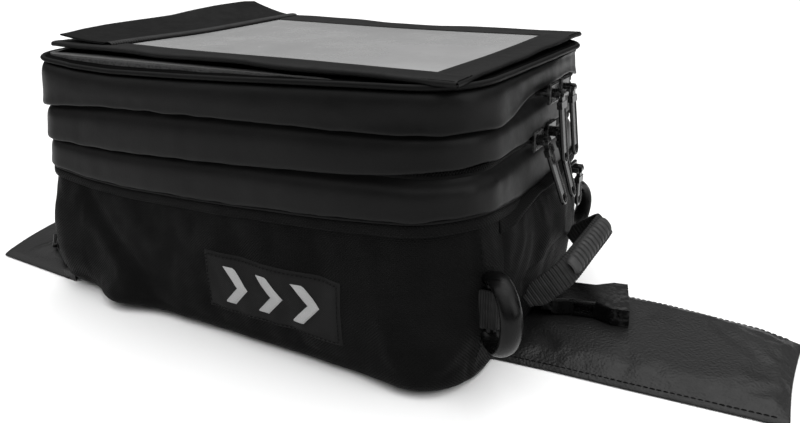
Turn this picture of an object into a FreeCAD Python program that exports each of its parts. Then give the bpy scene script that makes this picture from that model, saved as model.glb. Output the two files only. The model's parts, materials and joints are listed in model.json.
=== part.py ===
"""Motorcycle tank bag: a padded nylon body, an expansion section, a zipped lid with a map
case on top, a carry handle, strap rings, side-release buckles and magnetic tank flaps.

Millimetres. +Z is up, +X runs along the bag towards the end with the handle and the zip
sliders, and +Y towards the rear panel. The origin is the centre of the base's underside.
"""
import FreeCAD, Part
import math
import os

V = FreeCAD.Vector
X_AXIS, Y_AXIS, Z_AXIS = V(1, 0, 0), V(0, 1, 0), V(0, 0, 1)

# ---- driving dimensions -------------------------------------------------------------
LENGTH = 344.0          # bag body along X
WIDTH = 226.0           # bag body along Y at its right end
LEFT_WIDTH = 248.0      # and at its left end
CORNER = 42.0           # plan radius of the two upright corners at the right end
LEFT_CORNER = 20.0
HALF_X, HALF_Y = LENGTH / 2, WIDTH / 2
FLAT_Y = HALF_Y - CORNER  # half the flat part of an end face

RUN_GAP = 0.3           # gap between faces on bodies that move apart
WEBBING = 25.4          # one inch webbing, which all the hardware is made for
WEBBING_T = 2.0

# ---- levels up the bag ----------------------------------------------------------------
Z_BASE = 3.0            # top of the base panel, foot of the side panels
Z_BOARD = 5.0           # top of the stiffening board
Z_FLOOR = 11.0          # top of the base foam
Z_HEM = 106.0           # top of the nylon side panels
Z_LOWER_BAND = 110.0
Z_EXPANSION_ZIP = 137.0  # parting plane of the expansion zip
Z_UPPER_BAND = 140.0
Z_LID_ZIP = 165.0       # parting plane of the lid zip
Z_LID_TOP = 184.0       # underside of the lid's top skin
TAPE_H = 3.0            # height of one zip tape at the side of the bag
Z_GUSSET = (128.0, 146.0)
Z_MAP = 187.3           # underside of the map case

# ---- thicknesses and offsets from the plan outline --------------------------------------
PANEL_T = 2.0
FOAM_T = 4.0
LINING_T = 0.8
BAND_BULGE = 5.0        # how far the padded bands stand out
SKIN_T = 2.0
PIPING_R = 2.0

# ---- map case ------------------------------------------------------------------------------
MAP_HALF_X, MAP_HALF_Y = 168.0, 113.0
MAP_BACK_T, MAP_RIM_T = 1.2, 2.6
WINDOW_X = (-107.0, 146.0)
WINDOW_Y = (-93.0, 80.0)
WINDOW_T = 0.8
MAP_FLAP_X = (-166.0, -112.0)
MAP_FLAP_T = 1.7

# ---- hardware ---------------------------------------------------------------------------
SLIDER_L = 16.0         # slider along the zip
SLIDER_H = 13.0         # slider across the zip
RING_R = 4.2            # rod radius of the strap rings
BUCKLE_L = 56.0
BUCKLE_T = 12.0

# ---- tank flaps ------------------------------------------------------------------------
FLAP_T = 9.0            # right flap, with its magnets
LEFT_FLAP_T = 7.0
FLAP_AXIS_X = HALF_X + 4.5  # fold line of either flap, at the foot of the end panel
MAGNET_R, MAGNET_T = 17.0, 4.0


# ---- general shapes -------------------------------------------------------------------------
def outline(offset, z):
    """The bag's plan, a taper with rounded corners, grown by offset, as a wire at height z."""
    left_half = LEFT_WIDTH / 2
    corners = [(V(HALF_X, -HALF_Y, z), CORNER), (V(HALF_X, HALF_Y, z), CORNER),
               (V(-HALF_X, left_half, z), LEFT_CORNER), (V(-HALF_X, -left_half, z), LEFT_CORNER)]
    arcs = []
    for k, (corner, radius) in enumerate(corners):
        into = (corner - corners[k - 1][0]).normalize()
        away = (corners[(k + 1) % 4][0] - corner).normalize()
        first, last = into.cross(Z_AXIS), away.cross(Z_AXIS)
        middle = (first + last).normalize()
        centre = corner - middle * (radius / middle.dot(first))
        arcs.append([centre + way * (radius + offset) for way in (first, middle, last)])
    edges = []
    for k, arc in enumerate(arcs):
        edges.append(Part.Arc(*arc).toShape())
        edges.append(Part.LineSegment(arc[2], arcs[(k + 1) % 4][0]).toShape())
    return Part.Wire(edges)


def slab(offset, z0, z1):
    """Solid plate of the bag's plan between two heights."""
    return Part.Face(outline(offset, z0)).extrude(V(0, 0, z1 - z0))


def ring(inner, outer, z0, z1):
    """Upright wall that follows the plan, between two offsets."""
    return slab(outer, z0, z1).cut(slab(inner, z0, z1))


def bulged_ring(inner, edge, bulge, z0, z1):
    """Wall whose outside swells from edge at its rims to bulge half way up."""
    levels = [(edge, 0.0), ((edge + 3 * bulge) / 4, 0.25), (bulge, 0.5),
              ((edge + 3 * bulge) / 4, 0.75), (edge, 1.0)]
    wires = [outline(offset, z0 + (z1 - z0) * share) for offset, share in levels]
    return Part.makeLoft(wires, True, True).cut(slab(inner, z0, z1))


def block(x0, x1, y0, y1, z0, z1):
    """Box between two corners."""
    return Part.makeBox(x1 - x0, y1 - y0, z1 - z0, V(x0, y0, z0))


def plate(points, z0, z1, radius=0.0):
    """Flat plate over a polygon, its upright edges rounded to radius."""
    wire = Part.makePolygon([V(x, y, z0) for x, y in points + points[:1]])
    solid = Part.Face(wire).extrude(V(0, 0, z1 - z0))
    if not radius:
        return solid
    upright = [e for e in solid.Edges if abs(e.tangentAt(e.FirstParameter).z) > 0.99]
    return solid.makeFillet(radius, upright)


def placed(shape, at, turn=0.0, axis=Z_AXIS):
    """Copy of a shape, turned about an axis through its own origin and then moved."""
    moved = shape.copy()
    moved.Placement = FreeCAD.Placement(at, FreeCAD.Rotation(axis, turn))
    return moved


def mirror_y(shape):
    """The same shape on the other side of the bag's middle plane."""
    return shape.mirror(V(0, 0, 0), Y_AXIS)


def mirror_x(shape):
    """The same shape at the other end of the bag."""
    return shape.mirror(V(0, 0, 0), X_AXIS)


def export(node, *solids):
    """Write one node's solids to its STEP file."""
    shape = solids[0] if len(solids) == 1 else Part.makeCompound(list(solids))
    assert shape.isValid(), node
    shape.exportStep("parts/%s.step" % node)


# ---- bag body --------------------------------------------------------------------------------
PANEL_SEAM_Y = 90.0     # where the long panels meet the end panels, on the corner


def make_base():
    """Base panel, stiffening board and foam, one on the other."""
    export("base_panel", slab(0, 0, Z_BASE))
    export("base_board", slab(-3, Z_BASE, Z_BOARD))
    export("base_foam", slab(-3, Z_BOARD, Z_FLOOR))


def make_side_panels():
    """Nylon walls: two long panels that wrap the corners, and two end panels."""
    wall = ring(-PANEL_T, 0, Z_BASE, Z_HEM)
    reach = LENGTH
    front_panel = wall.common(block(-reach, reach, -reach, -PANEL_SEAM_Y, 0, Z_HEM))
    export("front_panel", front_panel)
    export("rear_panel", mirror_y(front_panel))
    middle = block(-reach, reach, -PANEL_SEAM_Y, PANEL_SEAM_Y, 0, Z_HEM)
    left, right = sorted(wall.common(middle).Solids, key=lambda solid: solid.CenterOfMass.x)
    export("end_panel_left", left)
    export("end_panel_right", right)


def make_wall_foam():
    """Four flat foam pads behind the panels."""
    wall = ring(-PANEL_T - FOAM_T, -PANEL_T, Z_FLOOR, Z_HEM)
    flat_x, reach = HALF_X - CORNER, LENGTH
    side = wall.common(block(-flat_x, flat_x, -reach, 0, Z_FLOOR, Z_HEM))
    end = wall.common(block(0, reach, -FLAT_Y, FLAT_Y, Z_FLOOR, Z_HEM))
    export("wall_foam", side, mirror_y(side), end, mirror_x(end))


def make_inner_lining():
    """Lining tray that covers the floor and the foam."""
    outside = -PANEL_T - FOAM_T
    tray = slab(outside, Z_FLOOR, Z_GUSSET[0] - 1)
    export("inner_lining", tray.cut(slab(outside - LINING_T, Z_FLOOR + LINING_T, Z_LID_TOP)))


def make_bands():
    """Hem bead and the three padded bands, with the halves of both zips between them."""
    inner = -PANEL_T
    export("hem_piping", bulged_ring(inner, 0, 3, Z_HEM, Z_LOWER_BAND))
    zip_low, zip_high = Z_EXPANSION_ZIP - TAPE_H, Z_EXPANSION_ZIP + TAPE_H
    export("lower_band", bulged_ring(inner, 0, BAND_BULGE, Z_LOWER_BAND, zip_low))
    export("expansion_zip_lower", ring(inner, 0.5, zip_low, Z_EXPANSION_ZIP - RUN_GAP / 2))
    export("expansion_zip_upper", ring(inner, 0.5, Z_EXPANSION_ZIP + RUN_GAP / 2, zip_high))
    zip_low, zip_high = Z_LID_ZIP - TAPE_H, Z_LID_ZIP + TAPE_H
    export("upper_band", bulged_ring(inner, 0, BAND_BULGE, Z_UPPER_BAND, zip_low))
    export("lid_zip_lower", ring(inner, 0.5, zip_low, Z_LID_ZIP - RUN_GAP / 2))
    export("lid_zip_upper", ring(inner, 0.5, Z_LID_ZIP + RUN_GAP / 2, zip_high))
    export("lid_band", bulged_ring(inner, 0, BAND_BULGE, zip_high, Z_LID_TOP))


def make_expansion_gusset():
    """Pleated wall inside the expansion zip, folded as it is when the zip is closed."""
    folds = 6
    shallow, deep = -PANEL_T - 0.5, -PANEL_T - 8.0
    step = (Z_GUSSET[1] - Z_GUSSET[0]) / folds
    levels = [(deep if k % 2 else shallow, Z_GUSSET[0] + k * step) for k in range(folds + 1)]
    outside = Part.makeLoft([outline(off, z) for off, z in levels], True, True)
    inside = Part.makeLoft([outline(off - 1, z) for off, z in levels], True, True)
    export("expansion_gusset", outside.cut(inside))


# ---- lid ------------------------------------------------------------------------------------
def make_lid():
    """Top skin, its board and foam, the edge piping and the hook tape for the map case."""
    export("lid_panel", slab(1, Z_LID_TOP, Z_LID_TOP + SKIN_T))
    export("lid_board", slab(-PANEL_T - 0.5, Z_LID_TOP - 1.5, Z_LID_TOP))
    export("lid_foam", slab(-PANEL_T - 0.5, Z_LID_TOP - 5.5, Z_LID_TOP - 1.5))
    z = Z_LID_TOP + SKIN_T / 2
    path = outline(1 + PIPING_R, z)
    first = path.Edges[0]
    start = first.valueAt(first.FirstParameter)
    section = Part.Wire(Part.makeCircle(PIPING_R, start, first.tangentAt(first.FirstParameter)))
    export("lid_piping", path.makePipeShell([section], True, True).cut(slab(1, z - 5, z + 5)))
    top = Z_LID_TOP + SKIN_T
    tape = block(-120, 120, -70 - WEBBING / 2, -70 + WEBBING / 2, top, top + 1)
    export("lid_hook_tape", tape, mirror_y(tape))


# ---- map case ---------------------------------------------------------------------------------
def make_map_case():
    """Flat map pocket: backing, bound rim, clear window and the closing flap."""
    z_rim = Z_MAP + MAP_BACK_T
    z_top = z_rim + MAP_RIM_T
    export("map_backing", block(-MAP_HALF_X, MAP_HALF_X, -MAP_HALF_Y, MAP_HALF_Y, Z_MAP, z_rim))
    rim = block(-MAP_HALF_X, MAP_HALF_X, -MAP_HALF_Y, MAP_HALF_Y, z_rim, z_top)
    z_window = z_rim + 0.8
    lap = 5.0
    sheet = block(WINDOW_X[0] - lap, WINDOW_X[1] + lap, WINDOW_Y[0] - lap, WINDOW_Y[1] + lap,
                  z_window, z_window + WINDOW_T)
    hole = block(*WINDOW_X, *WINDOW_Y, z_rim, z_top)
    export("map_rim", rim.cut(hole).cut(sheet))
    export("map_window", sheet)
    z_flap = z_top + RUN_GAP
    flap = block(*MAP_FLAP_X, 5 - MAP_HALF_Y, MAP_HALF_Y - 5, z_flap, z_flap + MAP_FLAP_T)
    export("map_flap", flap)


# ---- front badge ----------------------------------------------------------------------------------
BADGE_X = (-10.0, 97.0)
BADGE_Z = (21.5, 63.5)
BADGE_T = 1.2


CHEVRONS = 3
CHEVRON_PITCH = 27.0
CHEVRON_HALF = 13.0     # half its height
CHEVRON_ARM = 9.0       # width of its stroke along X
CHEVRON_TIP = 12.0      # how far the point leads the ends
CHEVRON_T = 0.8
CHEVRON_INSET = 16.0    # from the patch's left edge


def on_front(shape):
    """Shape drawn on the plane y = 0, moved to the middle of the slanting front panel."""
    taper = (LEFT_WIDTH - WIDTH) / 2
    middle = V(0, -(WIDTH + LEFT_WIDTH) / 4, 0)
    return placed(shape, middle, math.degrees(math.atan2(taper, LENGTH)))


def make_badge():
    """Sewn patch on the front panel with three plain chevrons."""
    export("badge_patch", on_front(block(*BADGE_X, -BADGE_T, 0, *BADGE_Z)))
    z = sum(BADGE_Z) / 2
    chevrons = []
    for k in range(CHEVRONS):
        x = BADGE_X[0] + CHEVRON_INSET + k * CHEVRON_PITCH
        tip = x + CHEVRON_TIP
        points = [(x, z - CHEVRON_HALF), (x + CHEVRON_ARM, z - CHEVRON_HALF),
                  (tip + CHEVRON_ARM, z), (x + CHEVRON_ARM, z + CHEVRON_HALF),
                  (x, z + CHEVRON_HALF), (tip, z)]
        wire = Part.makePolygon([V(px, -BADGE_T, pz) for px, pz in points + points[:1]])
        chevrons.append(on_front(Part.Face(wire).extrude(V(0, -CHEVRON_T, 0))))
    export("badge_chevrons", *chevrons)


# ---- end pocket ----------------------------------------------------------------------
POCKET_HALF = 62.0      # half its length along Y
POCKET_WALL = 1.6
POCKET_ZIP_Z = 98.5
POCKET_LEVELS = [(48.0, 5.0), (60.0, 11.0), (72.0, 12.0), (84.0, 9.0), (95.0, 3.5)]
HOOD_Z = (103.4, 105.4)
HOOD_DEPTH = 14.0


def bow_wire(half, depth, z):
    """Bow-shaped outline on the end face: a chord along Y and an arc that stands out."""
    near, far, top = V(HALF_X, -half, z), V(HALF_X, half, z), V(HALF_X + depth, 0, z)
    return Part.Wire([Part.Arc(near, top, far).toShape(), Part.LineSegment(far, near).toShape()])


def make_end_pocket():
    """Bellied pocket on the end face, the zip along its mouth and the hood over the zip."""
    foot, head = POCKET_LEVELS[0][0], POCKET_LEVELS[-1][0]
    belly = Part.makeLoft([bow_wire(POCKET_HALF, d, z) for z, d in POCKET_LEVELS], True, True)
    hollow = Part.makeLoft([bow_wire(POCKET_HALF - 4, d - POCKET_WALL, z)
                            for z, d in POCKET_LEVELS], True, True)
    hollow = hollow.common(slab(HOOD_DEPTH, foot + POCKET_WALL, head))
    export("end_pocket_panel", belly.cut(hollow))
    zip_half = POCKET_ZIP_Z - head
    export("pocket_zip", block(HALF_X, HALF_X + 2, -POCKET_HALF - 4, POCKET_HALF + 4,
                               head, head + 2 * zip_half))
    hood = Part.Face(bow_wire(POCKET_HALF + 4, HOOD_DEPTH, HOOD_Z[0]))
    export("pocket_hood", hood.extrude(V(0, 0, HOOD_Z[1] - HOOD_Z[0])))


# ---- strap rings -----------------------------------------------------------------------
RING_CORNERS = {
    # name: (side, direction of the tab in plan, direction of the ring at rest, height of its bar)
    "near": (-1, -14.0, -43.0, 53.0),
    "far": (1, 45.0, 72.0, 47.0),
}
RING_BAR = 35.0
RING_REACH = 26.0       # from the bar's axis to the middle of the outer rod
RING_BOW = [(0.5, -1.17), (1.0, -0.35), (1.0, 0.45), (0.5, 1.11)]  # shares of reach, half bar
RING_WIDEN = 1.6        # the bow's section is this much wider across the ring
RING_STAND = 6.4        # from the bag's face to the bar's axis
TAB_T = 12.5


def make_strap_rings():
    """Moulded D rings on webbing tabs, at the near and far corners of the right end."""
    half = RING_BAR / 2
    top, foot = V(0, 0, half), V(0, 0, -half)
    bow = Part.BSplineCurve()
    bow.interpolate([foot] + [V(RING_REACH * x, 0, half * z) for x, z in RING_BOW] + [top])
    edge = bow.toShape()
    section = Part.Wire(Part.makeCircle(RING_R, foot, edge.tangentAt(edge.FirstParameter)))
    loop = Part.Wire(edge).makePipeShell([section], True, False)
    loop = loop.fuse([Part.makeSphere(RING_R, top), Part.makeSphere(RING_R, foot)])
    widen = FreeCAD.Matrix()
    widen.scale(V(1, RING_WIDEN, 1))
    bar = Part.makeCylinder(RING_R, RING_BAR, foot, Z_AXIS)
    solid = bar.fuse(loop.transformGeometry(widen))
    tab = block(-RING_STAND, TAB_T / 2, -TAB_T / 2, TAB_T / 2, -WEBBING / 2, WEBBING / 2)
    bore = Part.makeCylinder(RING_R + RUN_GAP, WEBBING, V(0, 0, -WEBBING / 2), Z_AXIS)
    tab = tab.cut(bore)
    tabs = []
    for name, (side, tab_turn, ring_turn, z) in RING_CORNERS.items():
        outward = FreeCAD.Rotation(Z_AXIS, tab_turn).multVec(X_AXIS)
        place = V(HALF_X - CORNER, side * FLAT_Y, z) + outward * (CORNER + RING_STAND)
        export("strap_ring_" + name, placed(solid, place, ring_turn))
        tabs.append(placed(tab, place, tab_turn).cut(slab(0, 0, Z_HEM)))
    export("ring_tabs", *tabs)


# ---- carry handle ------------------------------------------------------------------------
HANDLE_ROOT = V(HALF_X + 7.5, -30, 31)
HANDLE_LEAN = 40.0      # angle of the handle above level
HANDLE_SKEW = 4.0       # rise of the line from the near root to the far one
HANDLE_SPAN = 98.0      # from root to root
HANDLE_BENDS = [(13.0, 29.0), (92.0, 42.0)]  # along that line, and out from it
HANDLE_W = 20.0
GRIP_R = 8.5
GRIP_WIDEN = 1.35       # the grip's section is this much wider across the webbing
GRIP_INSET = 4.0
ROOT_NECK = 7.0         # length of the webbing's folded, narrower ends
ROOT_W = 9.0
ANCHOR_FACE_X = HALF_X + 2.7
ANCHOR_HALF_Y, ANCHOR_HALF_Z = 5.0, 8.0


def make_handle():
    """Webbing bridge with a rubber grip, and the sewn anchors at its two roots."""
    half = WEBBING_T / 2
    points = [(0.0, 0.0)] + HANDLE_BENDS + [(HANDLE_SPAN, 0.0)]
    legs = []
    for (s0, r0), (s1, r1) in zip(points, points[1:]):
        length = math.hypot(s1 - s0, r1 - r0)
        foot = ROOT_NECK if s0 == 0 else -half
        head = length - ROOT_NECK if s1 == HANDLE_SPAN else length + half
        wide = block(-half, half, foot, head, -HANDLE_W / 2, HANDLE_W / 2)
        core = block(-half, half, -half, length + half, -ROOT_W / 2, ROOT_W / 2)
        turn = math.degrees(math.atan2(r0 - r1, s1 - s0))
        legs.append(placed(wide.fuse(core), V(r0, s0, 0), turn))
    webbing = legs[0].fuse(legs[1:]).removeSplitter()

    (s0, r0), (s1, r1) = HANDLE_BENDS
    length = math.hypot(s1 - s0, r1 - r0)
    grip = Part.makeCylinder(GRIP_R, length - 2 * GRIP_INSET, V(0, GRIP_INSET, 0), Y_AXIS)
    widen = FreeCAD.Matrix()
    widen.scale(V(1, 1, GRIP_WIDEN))
    grip = placed(grip.transformGeometry(widen), V(r0, s0, 0),
                  math.degrees(math.atan2(r0 - r1, s1 - s0)))
    grip = grip.cut(webbing)

    skew = FreeCAD.Rotation(X_AXIS, HANDLE_SKEW)
    turn = skew.multiply(FreeCAD.Rotation(Y_AXIS, -HANDLE_LEAN))
    for node, solid in (("handle_webbing", webbing), ("handle_grip", grip)):
        solid.Placement = FreeCAD.Placement(HANDLE_ROOT, turn).multiply(solid.Placement)
        export(node, solid)

    far = HANDLE_ROOT + skew.multVec(Y_AXIS) * HANDLE_SPAN
    anchors = [block(0, ANCHOR_FACE_X, root.y - ANCHOR_HALF_Y, root.y + ANCHOR_HALF_Y,
                     root.z - ANCHOR_HALF_Z, root.z + ANCHOR_HALF_Z).cut(slab(0, 0, Z_HEM))
               for root in (HANDLE_ROOT, far)]
    export("handle_anchors", *anchors)


# ---- zip sliders and pulls -------------------------------------------------------------------
BAR_OUT = 6.3           # from a slider's back face to its hanging bar's axis
BAR_HALF = 0.8          # half the bar's square section
EYE_R = 1.4             # bore of the pull's eye
EYE_RIM = 2.6
EYE_L = 6.0
SLIDER_PLATE = 2.2      # thickness of a slider's front plate
SLIDER_ROUND = 1.0
STEM_HALF = 1.4         # half the neck between a slider and its zip
POST_W, POST_H = 2.6, 3.2    # the two posts that carry the hanging bar
PULL_W = 10.4
PULL_ROD = 1.2          # rod radius of the pull's frame
PULL_NECK = (1.4, 3.0, -6.5, -1.8)        # half thickness, half width, foot and top
PULL_HEAD = (1.7, PULL_W / 2, -9.5, -5.0)
PULL_PLATE = 1.2        # thickness of the plate inside the frame
POCKET_SLIDER_H = 8.6
PULL_L, POCKET_PULL_L = 46.0, 28.0
ZIP_REACH, POCKET_ZIP_REACH = 0.8, 2.3    # how far the zip stands out behind a slider's neck
ZIPS = {
    # name: (back face x, zip height, y, slider height, pull length, lean out, lean along Y)
    "lid_near": (HALF_X + 9.3, Z_LID_ZIP, 0.0, SLIDER_H, PULL_L, 6.0, 0.0),
    "lid_far": (HALF_X + 9.3, Z_LID_ZIP, 23.0, SLIDER_H, PULL_L, 6.0, 0.0),
    "expansion_near": (HALF_X + 5.3, Z_EXPANSION_ZIP, -14.5, SLIDER_H, PULL_L, 15.0, 12.0),
    "expansion_far": (HALF_X + 5.3, Z_EXPANSION_ZIP, 11.0, SLIDER_H, PULL_L, 15.0, 3.0),
    "pocket": (HALF_X + 8.3, POCKET_ZIP_Z, 58.0, POCKET_SLIDER_H, POCKET_PULL_L, 0.0, 0.0),
}


def slider_solid(neck, height):
    """Slider along Y with its back face on x = 0: neck to the zip, plate and hanging bar."""
    half = SLIDER_L / 2
    shell = block(0, SLIDER_PLATE, -half, half, -height / 2, height / 2)
    front = [e for e in shell.Edges if e.BoundBox.XMin > SLIDER_PLATE - 0.1]
    shell = shell.makeFillet(SLIDER_ROUND, front)
    stem = block(-neck, 0, -half, half, -STEM_HALF, STEM_HALF)
    bar_end = half - SLIDER_ROUND
    posts = [block(SLIDER_PLATE, BAR_OUT + BAR_HALF, y, y + POST_W, -POST_H / 2, POST_H / 2)
             for y in (-bar_end, bar_end - POST_W)]
    bar = block(BAR_OUT - BAR_HALF, BAR_OUT + BAR_HALF, -bar_end, bar_end, -BAR_HALF, BAR_HALF)
    return shell.fuse([stem, bar] + posts).removeSplitter()


def pull_solid(length, sway):
    """Pull hanging down -Z from an eye on the Y axis: a bent rod frame round a flat plate.

    Below the eye it swings sideways by sway degrees.
    """
    side = PULL_W / 2 - PULL_ROD
    neck, head = [block(-half_t, half_t, -half_w, half_w, low, high)
                  for half_t, half_w, low, high in (PULL_NECK, PULL_HEAD)]
    top, foot = PULL_HEAD[2] + 0.5, side - length + PULL_ROD
    rods = [Part.makeCylinder(PULL_ROD, top - foot, V(0, y, foot), Z_AXIS) for y in (-side, side)]
    bend = Part.makeTorus(side, PULL_ROD, V(0, 0, foot), X_AXIS)
    bend = bend.common(block(-PULL_W, PULL_W, -PULL_W, PULL_W, foot - PULL_W, foot))
    insert = block(-PULL_PLATE / 2, PULL_PLATE / 2, -side, side, foot + 2, PULL_HEAD[3])
    frame = placed(neck.fuse([head, bend, insert] + rods), V(0, 0, 0), sway, X_AXIS)
    eye = Part.makeCylinder(EYE_RIM, EYE_L, V(0, -EYE_L / 2, 0), Y_AXIS)
    bore = Part.makeCylinder(EYE_R, 2 * EYE_L, V(0, -EYE_L, 0), Y_AXIS)
    return frame.fuse(eye).cut(bore).removeSplitter()


def make_sliders():
    """Five sliders, two on each bag zip and one on the pocket, each with its pull."""
    for name, (back_x, z, y, height, length, lean_out, lean_y) in ZIPS.items():
        neck = back_x - HALF_X - (POCKET_ZIP_REACH if name == "pocket" else ZIP_REACH)
        place = V(back_x, y, z)
        export("slider_" + name, placed(slider_solid(neck, height), place))
        pull = placed(pull_solid(length, lean_y), place + V(BAR_OUT, 0, 0), -lean_out, Y_AXIS)
        export("pull_" + name, pull)


# ---- side-release buckle ------------------------------------------------------------------------
BUCKLE_TURN = 14.0      # direction the mouth points, in plan
BUCKLE_REAR = V(178.7, 15.5, FLAP_T + RUN_GAP)
BUCKLE_MOUTH = 39.0
BUCKLE_WAIST = 28.0
BUCKLE_BACK = 33.0
BUCKLE_WALL = 2.4
BUCKLE_ROUND = 1.6
WAIST_X = (17.0, 34.0)  # where the waist starts and ends along the buckle
THROAT_X = 44.0         # where the mouth reaches its full width
WINDOW_END_X = (20.0, 33.0)  # the side windows that the clip's arms spring into
SLOT_X = (5.0, 10.0)    # slot behind the strap's bar
BAR_TOP, BAR_FOOT = BUCKLE_T - 3.4, 3.4
STRAP_TOP = BUCKLE_T - 1.0
STRAP_LOOP_X = (-2.0, 7.6)   # the strap's short underside and its turn round the bar
STRAP_LEAD = 30.0
STRAP_AXIS_X = HALF_X + 3.5
ANCHOR_Y = (1.0, 29.0)
ANCHOR_Z = (12.0, 21.6)


def make_buckle():
    """Socket half of a side-release buckle and the webbing strap looped round its bar."""
    back, waist, mouth = BUCKLE_BACK / 2, BUCKLE_WAIST / 2, BUCKLE_MOUTH / 2
    near_side = [(0, -back), (WAIST_X[0] - 8, -back), (WAIST_X[0], -waist),
                 (WAIST_X[1], -waist), (THROAT_X, -mouth), (BUCKLE_L, -mouth)]
    far_side = [(x, -y) for x, y in reversed(near_side)]
    shell = plate(near_side + far_side, 0, BUCKLE_T)
    shell = shell.makeFillet(BUCKLE_ROUND, [e for e in shell.Edges if e.BoundBox.ZLength < 0.01
                                            and e.BoundBox.XMax < BUCKLE_L - 1])
    low, high = BUCKLE_WALL, BUCKLE_T - BUCKLE_WALL
    inner, wide = waist - BUCKLE_WALL, mouth - BUCKLE_WALL
    open_x = BUCKLE_L + 1
    near_wall = [(WAIST_X[0], -inner), (WAIST_X[1] + 2, -inner), (THROAT_X, -wide),
                 (open_x, -wide)]
    cavity = plate(near_wall + [(x, -y) for x, y in reversed(near_wall)], low, high)
    windows = block(*WINDOW_END_X, -back, back, low, high)
    slot = block(*SLOT_X, -WEBBING / 2 - 0.7, WEBBING / 2 + 0.7, -1, BUCKLE_T + 1)
    over = block(-1, SLOT_X[0] + 0.5, -back - 1, back + 1, BAR_TOP, BUCKLE_T + 1)
    under = block(-1, SLOT_X[0] + 0.5, -back - 1, back + 1, -1, BAR_FOOT)
    socket = shell.cut([cavity, windows, slot, over, under])
    export("buckle_socket", placed(socket, BUCKLE_REAR, BUCKLE_TURN))

    half = WEBBING / 2
    start, turn_x = STRAP_LOOP_X
    strap = block(-STRAP_LEAD, turn_x, -half, half, STRAP_TOP - WEBBING_T, STRAP_TOP)
    strap = strap.fuse([block(turn_x - WEBBING_T, turn_x, -half, half, 1, STRAP_TOP),
                        block(start, turn_x, -half, half, 1, 1 + WEBBING_T)])
    strap = placed(strap.removeSplitter(), BUCKLE_REAR, BUCKLE_TURN)
    strap = strap.cut(block(0, STRAP_AXIS_X + 1, -WIDTH, WIDTH, -1, Z_HEM))
    export("buckle_strap", strap)
    export("strap_anchor", block(HALF_X, STRAP_AXIS_X - 0.5, *ANCHOR_Y, *ANCHOR_Z))


# ---- magnetic tank flaps ---------------------------------------------------------------------------
def flap_with_magnets(pad, height, centres):
    """Padded flap with a sealed pocket for each disc magnet, and the discs."""
    foot = (height - MAGNET_T) / 2
    discs = [Part.makeCylinder(MAGNET_R, MAGNET_T, V(x, y, foot), Z_AXIS) for x, y in centres]
    return pad.cut(discs), discs


FLAP_ROOT_X = FLAP_AXIS_X + 0.6
RIGHT_FLAP = [(FLAP_ROOT_X, -57), (205, -50), (250, -45), (333, -35), (337, 54), (311, 63),
              (255, 67), (FLAP_ROOT_X, 66)]
RIGHT_FLAP_ROUND = 6.0
RIGHT_MAGNETS = [(212, 6), (258, 10), (304, 13)]
LEFT_FLAP_HALF = 121.0
LEFT_SHOULDER_X, LEFT_REACH_X = -258.0, -290.0   # where its round end starts and stops
LEFT_MAGNETS = [(-232, -72), (-232, -24), (-232, 24), (-232, 72)]
GORE_GAP = 0.4          # between the left flap's root strip and the wall


def make_flaps():
    """Right flap over the tank's rear, and the wider left flap with its rounded end."""
    cover, discs = flap_with_magnets(plate(RIGHT_FLAP, 0, FLAP_T, RIGHT_FLAP_ROUND), FLAP_T,
                                     RIGHT_MAGNETS)
    export("flap_right", cover)
    export("magnets_right", *discs)

    half = LEFT_FLAP_HALF
    near, far = V(LEFT_SHOULDER_X, -half, 0), V(LEFT_SHOULDER_X, half, 0)
    root_near, root_far = V(-FLAP_ROOT_X, -half, 0), V(-FLAP_ROOT_X, half, 0)
    edge = [Part.LineSegment(root_near, near).toShape(),
            Part.Arc(near, V(LEFT_REACH_X, 0, 0), far).toShape(),
            Part.LineSegment(far, root_far).toShape(),
            Part.LineSegment(root_far, root_near).toShape()]
    pad = Part.Face(Part.Wire(edge)).extrude(V(0, 0, LEFT_FLAP_T))
    cover, discs = flap_with_magnets(pad, LEFT_FLAP_T, LEFT_MAGNETS)
    export("flap_left", cover)
    export("magnets_left", *discs)

    gores = block(-FLAP_AXIS_X, CORNER - HALF_X, -half, half, 0, LEFT_FLAP_T)
    gores = gores.cut(slab(GORE_GAP, 0, LEFT_FLAP_T))
    export("flap_root_left", *gores.Solids)


# ---- front strap loops --------------------------------------------------------------------------------
LOOP_ROOT = V(-178.0, -109.0, LEFT_FLAP_T + RUN_GAP)
LOOP_TURN = 155.0       # direction the near loop lies in, in plan
LOOP_W = 15.0
LOOP_STRAP_L = 40.0
LOOP_ROD = 1.6          # rod radius of the triangular ring
LOOP_EYE = 1.9          # webbing round that rod
LOOP_RING_L = 24.0
LOOP_RING_BACK, LOOP_RING_TIP = LOOP_W / 2 + 2, 5.0    # half its width at the strap and the tip


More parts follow.
